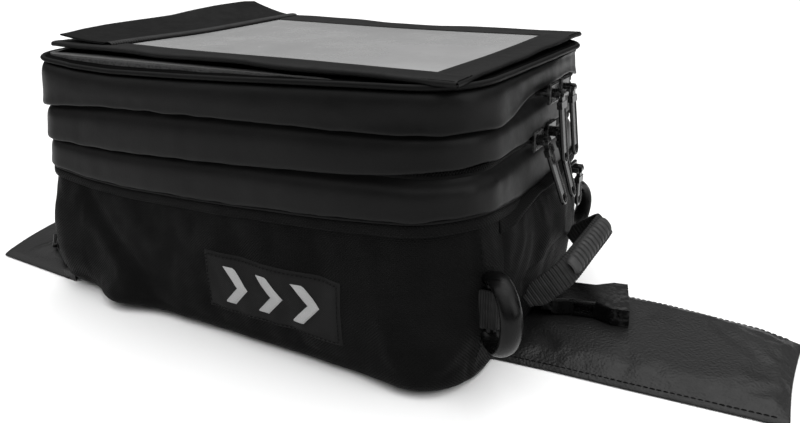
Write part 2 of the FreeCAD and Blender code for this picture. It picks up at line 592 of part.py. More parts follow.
def make_front_loops():
    """Narrow webbing tabs with triangular rings, lying on the left flap by its corners."""
    half, rod, z = LOOP_W / 2, LOOP_ROD, LOOP_ROD + LOOP_EYE
    strap = block(0, LOOP_STRAP_L, -half, half, 0, WEBBING_T)
    eye = Part.makeCylinder(z, LOOP_W, V(LOOP_STRAP_L, -half, z), Y_AXIS)
    bore = Part.makeCylinder(rod, 2 * LOOP_W, V(LOOP_STRAP_L, -LOOP_W, z), Y_AXIS)
    strap = strap.fuse(eye).cut(bore)
    tip_x = LOOP_STRAP_L + LOOP_RING_L
    corners = [V(LOOP_STRAP_L, -LOOP_RING_BACK, z), V(LOOP_STRAP_L, LOOP_RING_BACK, z),
               V(tip_x, LOOP_RING_TIP, z), V(tip_x, -LOOP_RING_TIP, z)]
    rods = []
    for start, end in zip(corners, corners[1:] + corners[:1]):
        rods.append(Part.makeCylinder(rod, (end - start).Length, start, end - start))
        rods.append(Part.makeSphere(rod, start))
    ring_solid = rods[0].fuse(rods[1:])
    for node, solid in (("front_loop_strap", strap), ("front_loop_ring", ring_solid)):
        near = placed(solid, LOOP_ROOT, LOOP_TURN)
        export(node + "_near", near)
        export(node + "_far", mirror_y(near))


os.makedirs("parts", exist_ok=True)
make_base()
make_side_panels()
make_wall_foam()
make_inner_lining()
make_bands()
make_expansion_gusset()
make_lid()
make_map_case()
make_badge()
make_end_pocket()
make_strap_rings()
make_handle()
make_sliders()
make_buckle()
make_flaps()
make_front_loops()
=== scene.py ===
"""Tank bag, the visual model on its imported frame.

All shapes are worked out in millimetres, in the frame's axes: +X along the bag towards the
handle, +Y towards the rear panel, +Z up. A place on the bag's outline is given by u, the
distance along it from the left end of the flat front panel, seen from above anticlockwise.
"""
import bpy
import json
import math
import numpy as np
from mathutils import Matrix, Vector, noise


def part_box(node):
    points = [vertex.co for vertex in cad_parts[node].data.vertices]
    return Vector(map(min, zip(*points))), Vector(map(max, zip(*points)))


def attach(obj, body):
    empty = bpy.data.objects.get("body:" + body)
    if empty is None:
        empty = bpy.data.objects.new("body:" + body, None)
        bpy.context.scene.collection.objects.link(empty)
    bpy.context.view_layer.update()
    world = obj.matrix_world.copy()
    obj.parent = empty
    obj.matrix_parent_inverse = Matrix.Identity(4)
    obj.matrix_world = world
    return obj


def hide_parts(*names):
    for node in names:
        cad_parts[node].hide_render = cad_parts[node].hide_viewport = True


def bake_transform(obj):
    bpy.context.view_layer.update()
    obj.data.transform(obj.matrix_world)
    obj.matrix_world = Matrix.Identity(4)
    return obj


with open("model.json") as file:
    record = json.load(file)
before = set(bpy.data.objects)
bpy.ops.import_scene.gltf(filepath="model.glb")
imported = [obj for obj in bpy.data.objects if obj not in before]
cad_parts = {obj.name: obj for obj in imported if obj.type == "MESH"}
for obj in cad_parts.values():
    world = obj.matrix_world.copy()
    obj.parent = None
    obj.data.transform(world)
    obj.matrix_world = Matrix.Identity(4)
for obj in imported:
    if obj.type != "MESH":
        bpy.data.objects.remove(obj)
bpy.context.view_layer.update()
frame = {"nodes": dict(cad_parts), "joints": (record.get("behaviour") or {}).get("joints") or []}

MM = 0.001
NODES = frame["nodes"]


def cad(node):
    """Lowest and highest corner of a CAD node, in millimetres."""
    low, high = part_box(node)
    return np.array(low) / MM, np.array(high) / MM


# ---- the frame's driving sizes ----
HALF_X = cad("base_panel")[1][0]
CORNER = 42.0                     # plan radius of the two upright corners at the right end
LEFT_CORNER = 20.0                # and of those at the left end
RIGHT_HALF_Y, LEFT_HALF_Y = 113.0, 124.0   # the bag is wider at its left end
Z_LID_SKIN = cad("lid_panel")[1][2]
SLOPE = (LEFT_HALF_Y - RIGHT_HALF_Y) / (2 * HALF_X)
EDGE_ALONG = np.array([1.0, SLOPE]) / math.hypot(1.0, SLOPE)     # of the front edge
EDGE_OUT = np.array([EDGE_ALONG[1], -EDGE_ALONG[0]])
LEAN = math.atan(SLOPE)


def corner_centre(x, radius):
    """Centre of the front corner of that radius, at that x."""
    edge_y = -LEFT_HALF_Y + SLOPE * (x + HALF_X)
    return np.array([x, edge_y + radius / math.cos(LEAN)])


RIGHT_CENTRE = corner_centre(HALF_X - CORNER, CORNER)
LEFT_CENTRE = corner_centre(LEFT_CORNER - HALF_X, LEFT_CORNER)
FLAT_X, FLAT_Y = RIGHT_CENTRE[0], -RIGHT_CENTRE[1]
EDGE_START = LEFT_CENTRE + EDGE_OUT * LEFT_CORNER
EDGE_LENGTH = (RIGHT_CENTRE + EDGE_OUT * CORNER - EDGE_START).dot(EDGE_ALONG)
U_START = (EDGE_START[0] + FLAT_X) / EDGE_ALONG[0]    # u is 0 at x = -FLAT_X
BEND = CORNER * (math.pi / 2 - LEAN)
LEFT_BEND = LEFT_CORNER * (math.pi / 2 + LEAN)
U_FRONT_END = U_START + EDGE_LENGTH   # right end of the flat front panel
U_END = U_FRONT_END + BEND            # near edge of the flat end face
U_END_FAR = U_END + 2 * FLAT_Y
U_REAR = U_END_FAR + BEND
U_REAR_END = U_REAR + EDGE_LENGTH
U_LEFT = U_REAR_END + LEFT_BEND
U_LEFT_END = U_LEFT - 2 * LEFT_CENTRE[1]
U_NEAR = U_LEFT_END + LEFT_BEND
ROUND = U_NEAR - U_START              # the whole way round
COLUMNS = 340                     # points along the outline in every ring-shaped piece
US = np.arange(COLUMNS) * ROUND / COLUMNS
INSET_LIMIT = 10.0                # further in than this, the outline shrinks to its middle


def outline(u, off):
    """Point of the outline at u, moved out by off, and the outward direction there."""
    s = (u - U_START) % ROUND + U_START
    mirror = np.array([1.0, -1.0])
    if s < U_FRONT_END:
        return EDGE_START + EDGE_ALONG * (s - U_START) + EDGE_OUT * off, EDGE_OUT
    if U_END <= s < U_END_FAR:
        return np.array([HALF_X + off, -FLAT_Y + s - U_END]), np.array([1.0, 0.0])
    if U_REAR <= s < U_REAR_END:
        along = EDGE_START + EDGE_ALONG * (U_REAR_END - s)
        return (along + EDGE_OUT * off) * mirror, EDGE_OUT * mirror
    if U_LEFT <= s < U_LEFT_END:
        return np.array([-HALF_X - off, -LEFT_CENTRE[1] - s + U_LEFT]), np.array([-1.0, 0.0])
    if s < U_END:
        centre, radius, angle = RIGHT_CENTRE, CORNER, (s - U_END) / CORNER
    elif s < U_REAR:
        centre, radius, angle = RIGHT_CENTRE * mirror, CORNER, (s - U_END_FAR) / CORNER
    elif s < U_LEFT:
        centre, radius = LEFT_CENTRE * mirror, LEFT_CORNER
        angle = math.pi + (s - U_LEFT) / LEFT_CORNER
    else:
        centre, radius = LEFT_CENTRE, LEFT_CORNER
        angle = math.pi + (s - U_LEFT_END) / LEFT_CORNER
    out = np.array([math.cos(angle), math.sin(angle)])
    return centre + out * (radius + off), out


def plan(u, off=0.0):
    """As outline, but safe for pieces that reach far inside the bag."""
    point, out = outline(u, max(off, -INSET_LIMIT))
    return point * (1 + min(0.0, off + INSET_LIMIT) / LEFT_HALF_Y), out


def u_of_end(y):
    """u of a point on the flat end face."""
    return U_END + y + FLAT_Y


def ease(x, low, high):
    """0 below low, 1 above high, smooth between."""
    t = np.clip((np.asarray(x, float) - low) / (high - low), 0, 1)
    return t * t * (3 - 2 * t)


def bump(x, centre, width):
    """Bell of height 1."""
    return np.exp(-((np.asarray(x, float) - centre) / width) ** 2)


def rough(x, y, z, size, seed=0.0):
    """Smooth noise of about +-1 with features of that size."""
    return noise.noise(Vector((x / size, y / size + seed, z / size))) * 1.6


def level(table):
    """Height round the outline from (u, z) pairs, smoothed, as a function of u."""
    table = sorted((u % ROUND, z) for u, z in table)
    us = np.array([table[-1][0] - ROUND] + [u for u, _ in table] + [table[0][0] + ROUND])
    zs = np.array([table[-1][1]] + [z for _, z in table] + [table[0][1]])
    fine = np.arange(0, ROUND, 2.0)
    plain = np.interp(fine, us, zs)
    kernel = bump(np.arange(-24, 25), 0, 7.0)
    soft = np.convolve(np.concatenate([plain[-24:], plain, plain[:24]]),
                       kernel / kernel.sum(), "valid")
    return lambda u: np.interp(np.asarray(u) % ROUND, np.append(fine, ROUND),
                               np.append(soft, soft[0]))


LID_EDGE = level([(-66, 183.5), (-33, 181.5), (0, 178), (40, 176.5), (130, 179), (220, 183),
                  (260, 184.5), (293, 185), (326, 185.3), (397, 185.3), (468, 185.3),
                  (534, 185), (664, 182), (794, 183), (860, 184), (931, 184)])
SEAM_1 = level([(-33, 146.5), (0, 149), (40, 152), (130, 154.5), (220, 157), (270, 159.5),
                (300, 160), (326, 159.5), (342, 161), (360, 169), (464, 169), (486, 162),
                (534, 158), (664, 154), (794, 156), (860, 152), (931, 150)])
LID_ZIP = level([(-33, 153), (0, 155), (40, 157), (130, 160), (220, 163), (270, 165),
                 (300, 165), (326, 165), (397, 165), (468, 165), (534, 165), (664, 160),
                 (794, 162), (860, 159), (931, 158)])
SEAM_2 = level([(-33, 121.5), (40, 120.5), (130, 125), (220, 131), (270, 137), (300, 141),
                (326, 140.5), (397, 141), (468, 140), (534, 136), (664, 128), (794, 126),
                (860, 124), (931, 123)])
EXP_ZIP = level([(-33, 128), (40, 127), (130, 131), (220, 134.5), (270, 137), (300, 137),
                 (397, 137), (534, 137), (664, 133), (794, 132), (860, 130), (931, 129)])
HEM = level([(-33, 101), (0, 97), (40, 95), (130, 98), (220, 104), (270, 109.5), (300, 112.5),
             (326, 111), (345, 108), (397, 104), (440, 105), (468, 107), (534, 107),
             (664, 102), (794, 102), (860, 101), (931, 100)])


# ---- mesh helpers ----
def add_mesh(name, points, faces, material, uvs=None):
    """Object from points in millimetres. uvs is one (u, v) for each corner of each face."""
    mesh = bpy.data.meshes.new(name)
    mesh.from_pydata((np.asarray(points, float) * MM).tolist(), [], faces)
    if uvs is not None:
        layer = mesh.uv_layers.new(name="cloth")
        layer.data.foreach_set("uv", (np.asarray(uvs, float) * MM).ravel())
    mesh.validate()
    mesh.shade_smooth()
    mesh.materials.append(material)
    piece = bpy.data.objects.new(name, mesh)
    bpy.context.scene.collection.objects.link(piece)
    return piece


def face_out(piece):
    """Turn a closed piece's faces outward if they point in."""
    co = coordinates(piece)
    volume = sum(co[p.vertices[0]].dot(np.cross(co[a], co[b]))
                 for p in piece.data.polygons
                 for a, b in zip(p.vertices[1:], p.vertices[2:]))
    if volume < 0:
        piece.data.flip_normals()


def grid_faces(rows, columns, wrap_rows, wrap_columns):
    """Quads of a grid, each with its corners' (row, column) before wrapping."""
    faces, places = [], []
    for r in range(rows if wrap_rows else rows - 1):
        for c in range(columns if wrap_columns else columns - 1):
            corners = [(r, c), (r + 1, c), (r + 1, c + 1), (r, c + 1)]
            faces.append([(i % rows) * columns + j % columns for i, j in corners])
            places.append(corners)
    return faces, places


def grid_mesh(name, grid, material, wrap_rows=False, wrap_columns=False):
    """Sheet over a grid of points, with its cloth coordinates measured along it."""
    grid = np.asarray(grid, float)
    rows, columns = grid.shape[:2]
    faces, places = grid_faces(rows, columns, wrap_rows, wrap_columns)
    down = np.linalg.norm(np.diff(grid, axis=0, append=grid[:1]), axis=2).mean(1)
    along = np.linalg.norm(np.diff(grid, axis=1, append=grid[:, :1]), axis=2).mean(0)
    vs = np.concatenate([[0], np.cumsum(down)])
    us = np.concatenate([[0], np.cumsum(along)])
    uvs = [(us[c], vs[r]) for corners in places for r, c in corners]
    piece = add_mesh(name, grid.reshape(-1, 3), faces, material, uvs)
    if wrap_rows and wrap_columns:
        face_out(piece)
    return piece


def ring_grid(profile):
    """Grid round the bag. profile(u) is a list of (off, z), the same number for every u."""
    grid = []
    for u in US:
        point, out = plan(u)
        grid.append([(*(point + out * off), z) for off, z in profile(u)])
    return np.array(grid).transpose(1, 0, 2)


def frames_along(path):
    """Tangent, side and normal at each point of a path, turned as little as possible."""
    path = np.asarray(path, float)
    tangents = np.gradient(path, axis=0)
    tangents /= np.linalg.norm(tangents, axis=1)[:, None]
    side = np.cross(tangents[0], (0, 0, 1))
    side /= np.linalg.norm(side)
    result = []
    for tangent in tangents:
        side = side - tangent * side.dot(tangent)
        side /= np.linalg.norm(side)
        result.append((tangent, side, np.cross(side, tangent)))
    return result


def sweep(name, path, section, material, frames):
    """Solid along a path. section(k) gives the closed outline (side, normal) at point k."""
    loops = [[p + side * a + normal * b for a, b in section(k)]
             for k, (p, (_, side, normal)) in enumerate(zip(path, frames))]
    grid = np.array(loops).transpose(1, 0, 2)
    piece = grid_mesh(name, grid, material, wrap_rows=True)
    return close_ends(piece, grid.shape[0], grid.shape[1])


def capped(piece, cap):
    """The piece made again as a closed solid, with the faces that cap(points) gives."""
    mesh = piece.data
    faces = [list(p.vertices) for p in mesh.polygons]
    uvs = [tuple(x.uv) for x in mesh.uv_layers[0].data]
    points, caps = cap(np.array([v.co for v in mesh.vertices]))
    uvs += [uvs[0]] * sum(len(face) for face in caps)
    name, material = piece.name, mesh.materials[0]
    bpy.data.objects.remove(piece)
    bpy.data.meshes.remove(mesh)
    made = add_mesh(name, points / MM, faces + caps, material, np.array(uvs) / MM)
    face_out(made)
    return made


def close_ends(piece, rows, columns):
    """Cap the two open ends of a swept solid with fans."""
    def fans(points):
        faces = []
        for column, turn in ((0, 1), (columns - 1, -1)):
            rim = [r * columns + column for r in range(rows)]
            points = np.vstack([points, points[rim].mean(0)])
            centre = len(points) - 1
            faces += [[centre, a, b][::turn] for a, b in zip(rim, rim[1:] + rim[:1])]
        return points, faces
    return capped(piece, fans)


def close_sides(name, grid, material):
    """Closed cushion from a grid whose rows wrap round; the two ends are sewn flat."""
    rows, columns = grid.shape[:2]

    def strips(points):
        return points, [[r * columns + column, (rows - 1 - r) * columns + column,
                         (rows - 2 - r) * columns + column,
                         (r + 1) * columns + column][::-turn]
                        for column, turn in ((0, 1), (columns - 1, -1))
                        for r in range(rows // 2 - 1)]
    return capped(grid_mesh(name, grid, material, wrap_rows=True), strips)


def oval(a, b, count=16, power=1.0):
    """Closed outline of half-width a and half-height b; power below 1 makes it boxier."""
    turns = np.linspace(0, 2 * math.pi, count, endpoint=False)
    return [(a * math.copysign(abs(math.cos(t)) ** power, math.cos(t)),
             b * math.copysign(abs(math.sin(t)) ** power, math.sin(t))) for t in turns]


def spline(points, count):
    """Smooth path of evenly spaced points through the given ones."""
    points = np.asarray(points, float)
    padded = np.vstack([2 * points[0] - points[1], points, 2 * points[-1] - points[-2]])
    fine = []
    for p0, p1, p2, p3 in zip(padded, padded[1:], padded[2:], padded[3:]):
        for t in np.linspace(0, 1, 24, endpoint=False):
            fine.append(0.5 * (2 * p1 + (p2 - p0) * t + (2 * p0 - 5 * p1 + 4 * p2 - p3) * t ** 2
                               + (3 * p1 - p0 - 3 * p2 + p3) * t ** 3))
    fine = np.array(fine + [points[-1]])
    run = np.concatenate([[0], np.cumsum(np.linalg.norm(np.diff(fine, axis=0), axis=1))])
    at = np.linspace(0, run[-1], count)
    return np.array([np.interp(at, run, fine[:, k]) for k in range(3)]).T


def join(name, pieces):
    """One object from several that share a material."""
    bpy.ops.object.select_all(action="DESELECT")
    for piece in pieces:
        piece.select_set(True)
    bpy.context.view_layer.objects.active = pieces[0]
    bpy.ops.object.join()
    pieces[0].name = name
    return pieces[0]


def coordinates(piece):
    """Points of a piece, in millimetres."""
    co = np.zeros(len(piece.data.vertices) * 3)
    piece.data.vertices.foreach_get("co", co)
    return co.reshape(-1, 3) / MM


def set_coordinates(piece, co):
    piece.data.vertices.foreach_set("co", (np.asarray(co) * MM).ravel())
    piece.data.update()


def subdivide(piece):
    """Smooth a soft piece by one level, in the view and in the render."""
    modifier = piece.modifiers.new("Subdivision", "SUBSURF")
    modifier.levels = modifier.render_levels = 1


def thicken(piece, thickness):
    """Give a sheet its thickness, on the inside."""
    modifier = piece.modifiers.new("Thickness", "SOLIDIFY")
    modifier.thickness = thickness * MM
    modifier.offset = -1
    modifier.use_even_offset = False


def round_edges(piece, width, segments=3):
    """Small rounded edges on a CAD part, which keeps its place and size."""
    modifier = piece.modifiers.new("Bevel", "BEVEL")
    modifier.width = width * MM
    modifier.segments = segments
    modifier.limit_method = "ANGLE"
    modifier.angle_limit = math.radians(35)
    modifier.use_clamp_overlap = True
    weighted = piece.modifiers.new("Normals", "WEIGHTED_NORMAL")
    weighted.keep_sharp = True


SETTLE_FRAMES = 16


def settle(jobs):
    """Run all cloth pieces together: (piece, pinned points, pressure, slack, cap in mm)."""
    for piece, pins, pressure, slack, _ in jobs:
        group = piece.vertex_groups.new(name="pins")
        group.add([int(k) for k in pins], 1.0, "REPLACE")
        cloth = piece.modifiers.new("Cloth", "CLOTH")
        cloth.settings.quality = 5
        cloth.settings.mass = 0.3
        cloth.settings.vertex_group_mass = "pins"
        cloth.settings.use_pressure = True
        cloth.settings.uniform_pressure_force = pressure
        cloth.settings.shrink_min = -slack
        cloth.settings.tension_stiffness = 20
        cloth.settings.compression_stiffness = 20
        cloth.settings.shear_stiffness = 8
        cloth.settings.bending_stiffness = 1.5
        cloth.settings.effector_weights.gravity = 0
        cloth.collision_settings.use_collision = False
        cloth.collision_settings.use_self_collision = False
        cloth.point_cache.frame_start = 1
        cloth.point_cache.frame_end = SETTLE_FRAMES
    scene = bpy.context.scene
    for number in range(1, SETTLE_FRAMES + 1):
        scene.frame_set(number)
    graph = bpy.context.evaluated_depsgraph_get()
    for piece, _, _, _, cap in jobs:
        moved = np.zeros(len(piece.data.vertices) * 3)
        piece.evaluated_get(graph).data.vertices.foreach_get("co", moved)
        start = coordinates(piece)
        step = moved.reshape(-1, 3) / MM - start
        size = np.linalg.norm(step, axis=1)[:, None]
        step *= np.minimum(1, cap / np.maximum(size, 1e-6))
        set_coordinates(piece, start + step)
        piece.modifiers.remove(piece.modifiers["Cloth"])
        piece.vertex_groups.remove(piece.vertex_groups["pins"])
    scene.frame_set(1)


# ---- materials ----
class Paint:
    """Builds one procedural material."""

    def __init__(self, name, coords="Object"):
        self.material = bpy.data.materials.new(name)
        self.material.use_nodes = True
        self.tree = self.material.node_tree
        self.shader = self.tree.nodes["Principled BSDF"]
        self.coords = self.node("ShaderNodeTexCoord").outputs[coords]
        self.normal = None

    def node(self, kind, **settings):
        node = self.tree.nodes.new(kind)
        for key, value in settings.items():
            setattr(node, key, value)
        return node

    def link(self, source, target):
        self.tree.links.new(source, target)

    def math(self, operation, first, second=None):
        node = self.node("ShaderNodeMath", operation=operation)
        for socket, value in zip(node.inputs, (first, second)):
            if value is None:
                continue
            if isinstance(value, (int, float)):
                socket.default_value = value
            else:
                self.link(value, socket)
        return node.outputs[0]

    def scaled(self, scale):
        mapping = self.node("ShaderNodeMapping")
        mapping.inputs["Scale"].default_value = scale
        self.link(self.coords, mapping.inputs["Vector"])
        return mapping.outputs[0]

    def cloud(self, scale, detail=3.0, roughness=0.55):
        texture = self.node("ShaderNodeTexNoise")
        texture.inputs["Scale"].default_value = scale
        texture.inputs["Detail"].default_value = detail
        texture.inputs["Roughness"].default_value = roughness
        self.link(self.coords, texture.inputs["Vector"])
        return texture.outputs[0]

    def ranged(self, value, low, high, start=0.3, end=0.7):
        node = self.node("ShaderNodeMapRange")
        for key, number in (("From Min", start), ("From Max", end), ("To Min", low),
                            ("To Max", high)):
            node.inputs[key].default_value = number
        self.link(value, node.inputs["Value"])
        return node.outputs[0]

    def colours(self, value, *stops):
        ramp = self.node("ShaderNodeValToRGB")
        elements = ramp.color_ramp.elements
        while len(elements) < len(stops):
            elements.new(0.5)
        for element, (place, colour) in zip(elements, stops):
            element.position = place
            grey = colour if isinstance(colour, tuple) else (colour,) * 3
            element.color = (*grey, 1)
        self.link(value, ramp.inputs[0])
        return ramp.outputs[0]

    def mix(self, amount, first, second):
        node = self.node("ShaderNodeMix", data_type="RGBA")
        self.link(amount, node.inputs[0])
        for socket, value in ((node.inputs[6], first), (node.inputs[7], second)):
            if isinstance(value, (int, float)):
                socket.default_value = (value, value, value, 1)
            else:
                self.link(value, socket)
        return node.outputs[2]

    def relief(self, height, depth, strength=1.0):
        """Bump of the given depth in millimetres."""
        node = self.node("ShaderNodeBump")
        node.inputs["Strength"].default_value = strength
        node.inputs["Distance"].default_value = depth * MM
        self.link(height, node.inputs["Height"])
        if self.normal is not None:
            self.link(self.normal, node.inputs["Normal"])
        self.normal = node.outputs[0]

    def finish(self, colour, roughness, **values):
        for socket, value in (("Base Color", colour), ("Roughness", roughness)):
            self.link(value, self.shader.inputs[socket])
        if self.normal is not None:
            self.link(self.normal, self.shader.inputs["Normal"])
        for key, value in values.items():
            self.shader.inputs[key.replace("_", " ")].default_value = value
        return self.material


def waves(paint, axis, pitch, power=1.0):
    """Rounded ribs across one cloth axis, pitch in millimetres, as a height from 0 to 1."""
    split = paint.node("ShaderNodeSeparateXYZ")
    paint.link(paint.coords, split.inputs[0])
    turned = paint.math("MULTIPLY", split.outputs[axis], math.pi / (pitch * MM))
    height = paint.math("ABSOLUTE", paint.math("SINE", turned))
    return paint.math("POWER", height, power)


def woven(paint, pitch):
    """Plain weave: warp and weft threads that go over each other in turn."""
    checker = paint.node("ShaderNodeTexChecker")
    checker.inputs["Scale"].default_value = 1 / (pitch * MM)
    checker.inputs["Color1"].default_value = (1, 1, 1, 1)
    checker.inputs["Color2"].default_value = (0, 0, 0, 1)
    paint.link(paint.coords, checker.inputs["Vector"])
    over = checker.outputs["Fac"]
    warp, weft = waves(paint, 0, pitch), waves(paint, 1, pitch)
    return paint.math("ADD", paint.math("MULTIPLY", over, warp),
                      paint.math("MULTIPLY", paint.math("SUBTRACT", 1.0, over), weft))


def make_nylon(name, dark, light, pitch, depth, gloss=0.045):
    """Heavy woven nylon: threads, uneven dye, a little fuzz, and painted shade between the
    threads.
    """
    paint = Paint(name, "UV")
    thread = woven(paint, pitch)
    paint.relief(paint.cloud(28, 4), 1.0, 0.35)
    paint.relief(thread, depth, 0.9)
    paint.relief(paint.cloud(2600, 2), 0.08, 0.5)
    tone = paint.ranged(paint.cloud(14, 5), 0.0, 1.0)
    ground = paint.colours(tone, (0.0, dark), (1.0, light))
    # painted shade: the colour goes darker where the threads dip, between them
    colour = paint.mix(paint.ranged(thread, 0.55, 0.0, 0.0, 0.6), ground, dark * 0.35)
    return paint.finish(colour, paint.ranged(paint.cloud(60, 3), 0.5, 0.72),
                        Sheen_Weight=0.02, Sheen_Roughness=0.4, Specular_IOR_Level=gloss)


def make_vinyl(name, dark, light, low, high, grain, depth, gloss=0.3):
    """Coated vinyl: fine grain with painted shade in its pits, soft creases, rubbed patches."""
    paint = Paint(name)
    paint.relief(paint.cloud(36, 4, 0.6), 0.8, 0.3)
    cells = paint.node("ShaderNodeTexVoronoi", feature="SMOOTH_F1")
    cells.inputs["Scale"].default_value = 1 / (grain * MM)
    cells.inputs["Randomness"].default_value = 1.0
    paint.link(paint.coords, cells.inputs["Vector"])
    paint.relief(cells.outputs["Distance"], depth, 0.8)
    paint.relief(paint.cloud(900, 3), 0.05, 0.4)
    tone = paint.ranged(paint.cloud(9, 6, 0.65), 0.0, 1.0)
    colour = paint.colours(tone, (0.0, dark), (0.7, light), (1.0, light * 1.25))
    # painted shade: the grain's pits are coloured darker
    pit_shade = paint.ranged(cells.outputs["Distance"], 0.35, 0.0, 0.0, 0.45)
    colour = paint.mix(pit_shade, colour, dark * 0.5)
    return paint.finish(colour, paint.ranged(paint.cloud(70, 5, 0.7), low, high),
                        Specular_IOR_Level=gloss)


def make_plastic(name, dark, light, low, high, coat=0.0, mould=0.04, gloss=0.5):
    """Moulded or painted part: faint flow marks, scuffs, paler worn edges."""
    paint = Paint(name)
    paint.relief(paint.cloud(1400, 3), mould, 0.5)
    scratch = paint.node("ShaderNodeTexNoise")
    scratch.inputs["Scale"].default_value = 90
    scratch.inputs["Detail"].default_value = 8
    paint.link(paint.scaled((1, 7, 1)), scratch.inputs["Vector"])
    tone = paint.ranged(paint.cloud(55, 4), 0.0, 1.0)
    ground = paint.colours(tone, (0.0, dark), (1.0, light))
    edges = paint.node("ShaderNodeNewGeometry").outputs["Pointiness"]
    worn = paint.math("MULTIPLY", paint.ranged(edges, 0.0, 0.6, 0.53, 0.62),
                      paint.ranged(paint.cloud(300, 4), 0.0, 1.0, 0.45, 0.65))
    colour = paint.mix(worn, ground, min(1.0, light * 5 + 0.03))
    return paint.finish(colour, paint.ranged(scratch.outputs[0], low, high, 0.35, 0.7),
                        Coat_Weight=coat, Coat_Roughness=0.08, Specular_IOR_Level=gloss)


def make_webbing():
    """Ribbed nylon webbing with a herringbone of threads in the ribs, and painted shade in the
    grooves between the ribs.
    """
    paint = Paint("webbing_weave", "UV")
    ribs = waves(paint, 0, 1.6, 0.8)
    threads = waves(paint, 1, 0.8)
    paint.relief(ribs, 0.35, 0.9)
    paint.relief(threads, 0.12, 0.7)
    tone = paint.ranged(paint.cloud(120, 4), 0.0, 1.0)
    ground = paint.colours(tone, (0.0, 0.009), (1.0, 0.02))
    # painted shade: the colour goes darker in the grooves between the ribs
    colour = paint.mix(paint.ranged(ribs, 0.7, 0.0, 0.0, 0.6), ground, 0.003)
    return paint.finish(colour, paint.ranged(paint.cloud(300, 3), 0.45, 0.7),
                        Sheen_Weight=0.03, Sheen_Roughness=0.35, Specular_IOR_Level=0.15)


def make_foam(name, dark, light):
    """Open cells of a foam sheet, with painted shade in their hollows."""
    paint = Paint(name)
    cells = paint.node("ShaderNodeTexVoronoi")
    cells.inputs["Scale"].default_value = 420
    paint.link(paint.coords, cells.inputs["Vector"])
    paint.relief(cells.outputs["Distance"], 0.6, 0.9)
    # painted shade: darker towards the middle of each cell, where the pore sinks in
    colour = paint.colours(cells.outputs["Distance"], (0.0, dark), (0.6, light))
    return paint.finish(colour, paint.ranged(paint.cloud(50), 0.85, 1.0))


def make_board():
    """Pressed plastic board with a fine fleck."""
    paint = Paint("board_fleck")
    paint.relief(paint.cloud(700, 4), 0.15, 0.6)
    colour = paint.colours(paint.cloud(1100, 4, 0.8), (0.35, 0.03), (0.55, 0.05), (0.7, 0.12))
    return paint.finish(colour, paint.ranged(paint.cloud(90), 0.5, 0.75))


def make_hook_tape():
    """Rows of tiny hooks on a tape."""
    paint = Paint("hook_tape_rows")
    hooks = paint.node("ShaderNodeTexVoronoi")
    hooks.inputs["Scale"].default_value = 750
    hooks.inputs["Randomness"].default_value = 0.25
    paint.link(paint.coords, hooks.inputs["Vector"])
    paint.relief(hooks.outputs["Distance"], 0.7, 1.0)
    colour = paint.colours(hooks.outputs["Distance"], (0.1, 0.05), (0.5, 0.006))
    return paint.finish(colour, paint.ranged(paint.cloud(200), 0.4, 0.8))


def make_window():
    """Clear sheet, slightly cockled and hazed, over the pale lining of the pocket."""
    paint = Paint("window_sheet")
    paint.relief(paint.cloud(7, 2, 0.4), 3.0, 0.3)
    paint.relief(paint.cloud(60, 3), 0.1, 0.05)
    haze = paint.ranged(paint.cloud(16, 6, 0.7), 0.0, 1.0)
    colour = paint.colours(haze, (0.0, 0.485), (1.0, 0.52))
    return paint.finish(colour, paint.ranged(paint.cloud(30, 5, 0.7), 0.07, 0.2),
                        Alpha=0.82, IOR=1.5, Coat_Weight=0.3, Coat_Roughness=0.05)


def make_metal():
    """Nickel-plated disc."""
    paint = Paint("magnet_nickel")
    paint.relief(paint.cloud(800, 3), 0.03, 0.5)
    colour = paint.colours(paint.cloud(60, 5), (0.2, 0.42), (0.8, 0.62))
    return paint.finish(colour, paint.ranged(paint.cloud(150, 4), 0.18, 0.4), Metallic=1.0)


def make_floor():
    """Seamless white studio paper."""
    paint = Paint("studio_paper")
    paint.relief(paint.cloud(60, 3), 0.05, 0.2)
    colour = paint.colours(paint.cloud(3, 3), (0.3, 0.9), (0.7, 0.92))
    return paint.finish(colour, paint.ranged(paint.cloud(12), 0.85, 0.95))


NYLON = make_nylon("nylon_body", 0.0026, 0.0050, 1.1, 0.30, gloss=0.04)
GUSSET = make_nylon("nylon_gusset", 0.006, 0.01, 0.7, 0.12)
LINING = make_nylon("nylon_lining", 0.016, 0.026, 0.6, 0.10)
TAPE = make_nylon("zip_tape_twill", 0.003, 0.006, 0.55, 0.12)
PATCH = make_nylon("badge_ground", 0.010, 0.016, 0.7, 0.12)
PATCH_LIGHT = make_nylon("badge_thread", 0.42, 0.58, 0.5, 0.15)
VINYL = make_vinyl("vinyl_band", 0.0036, 0.006, 0.36, 0.5, 0.9, 0.05, 0.095)
# painted shade: a darker, duller copy of the band vinyl for the lid skin, so the strip under the
# map case rim reads as shadow
SHADED_LID_VINYL = make_vinyl("vinyl_lid", 0.0028, 0.0048, 0.6, 0.75, 0.9, 0.06, 0.004)
CURL_VINYL = make_vinyl("vinyl_curl", 0.0045, 0.0075, 0.5, 0.7, 0.8, 0.07, 0.03)
PIPING = make_vinyl("vinyl_piping", 0.004, 0.007, 0.42, 0.58, 0.6, 0.04, 0.045)
FLAP_VINYL = make_vinyl("vinyl_flap", 0.007, 0.0115, 0.36, 0.52, 1.5, 0.42, 0.22)
RIM_VINYL = make_vinyl("vinyl_rim", 0.005, 0.0085, 0.45, 0.65, 0.8, 0.07, 0.08)
STITCH = make_nylon("thread", 0.005, 0.012, 0.4, 0.1)
GLOSS = make_plastic("hardware_gloss", 0.002, 0.0045, 0.22, 0.38, 0.0, 0.02, 0.13)
PAINTED = make_plastic("slider_enamel", 0.004, 0.008, 0.16, 0.32, 0.06, 0.02, 0.2)
TEETH = make_plastic("zip_teeth", 0.002, 0.004, 0.4, 0.55, 0.0, 0.02, 0.03)
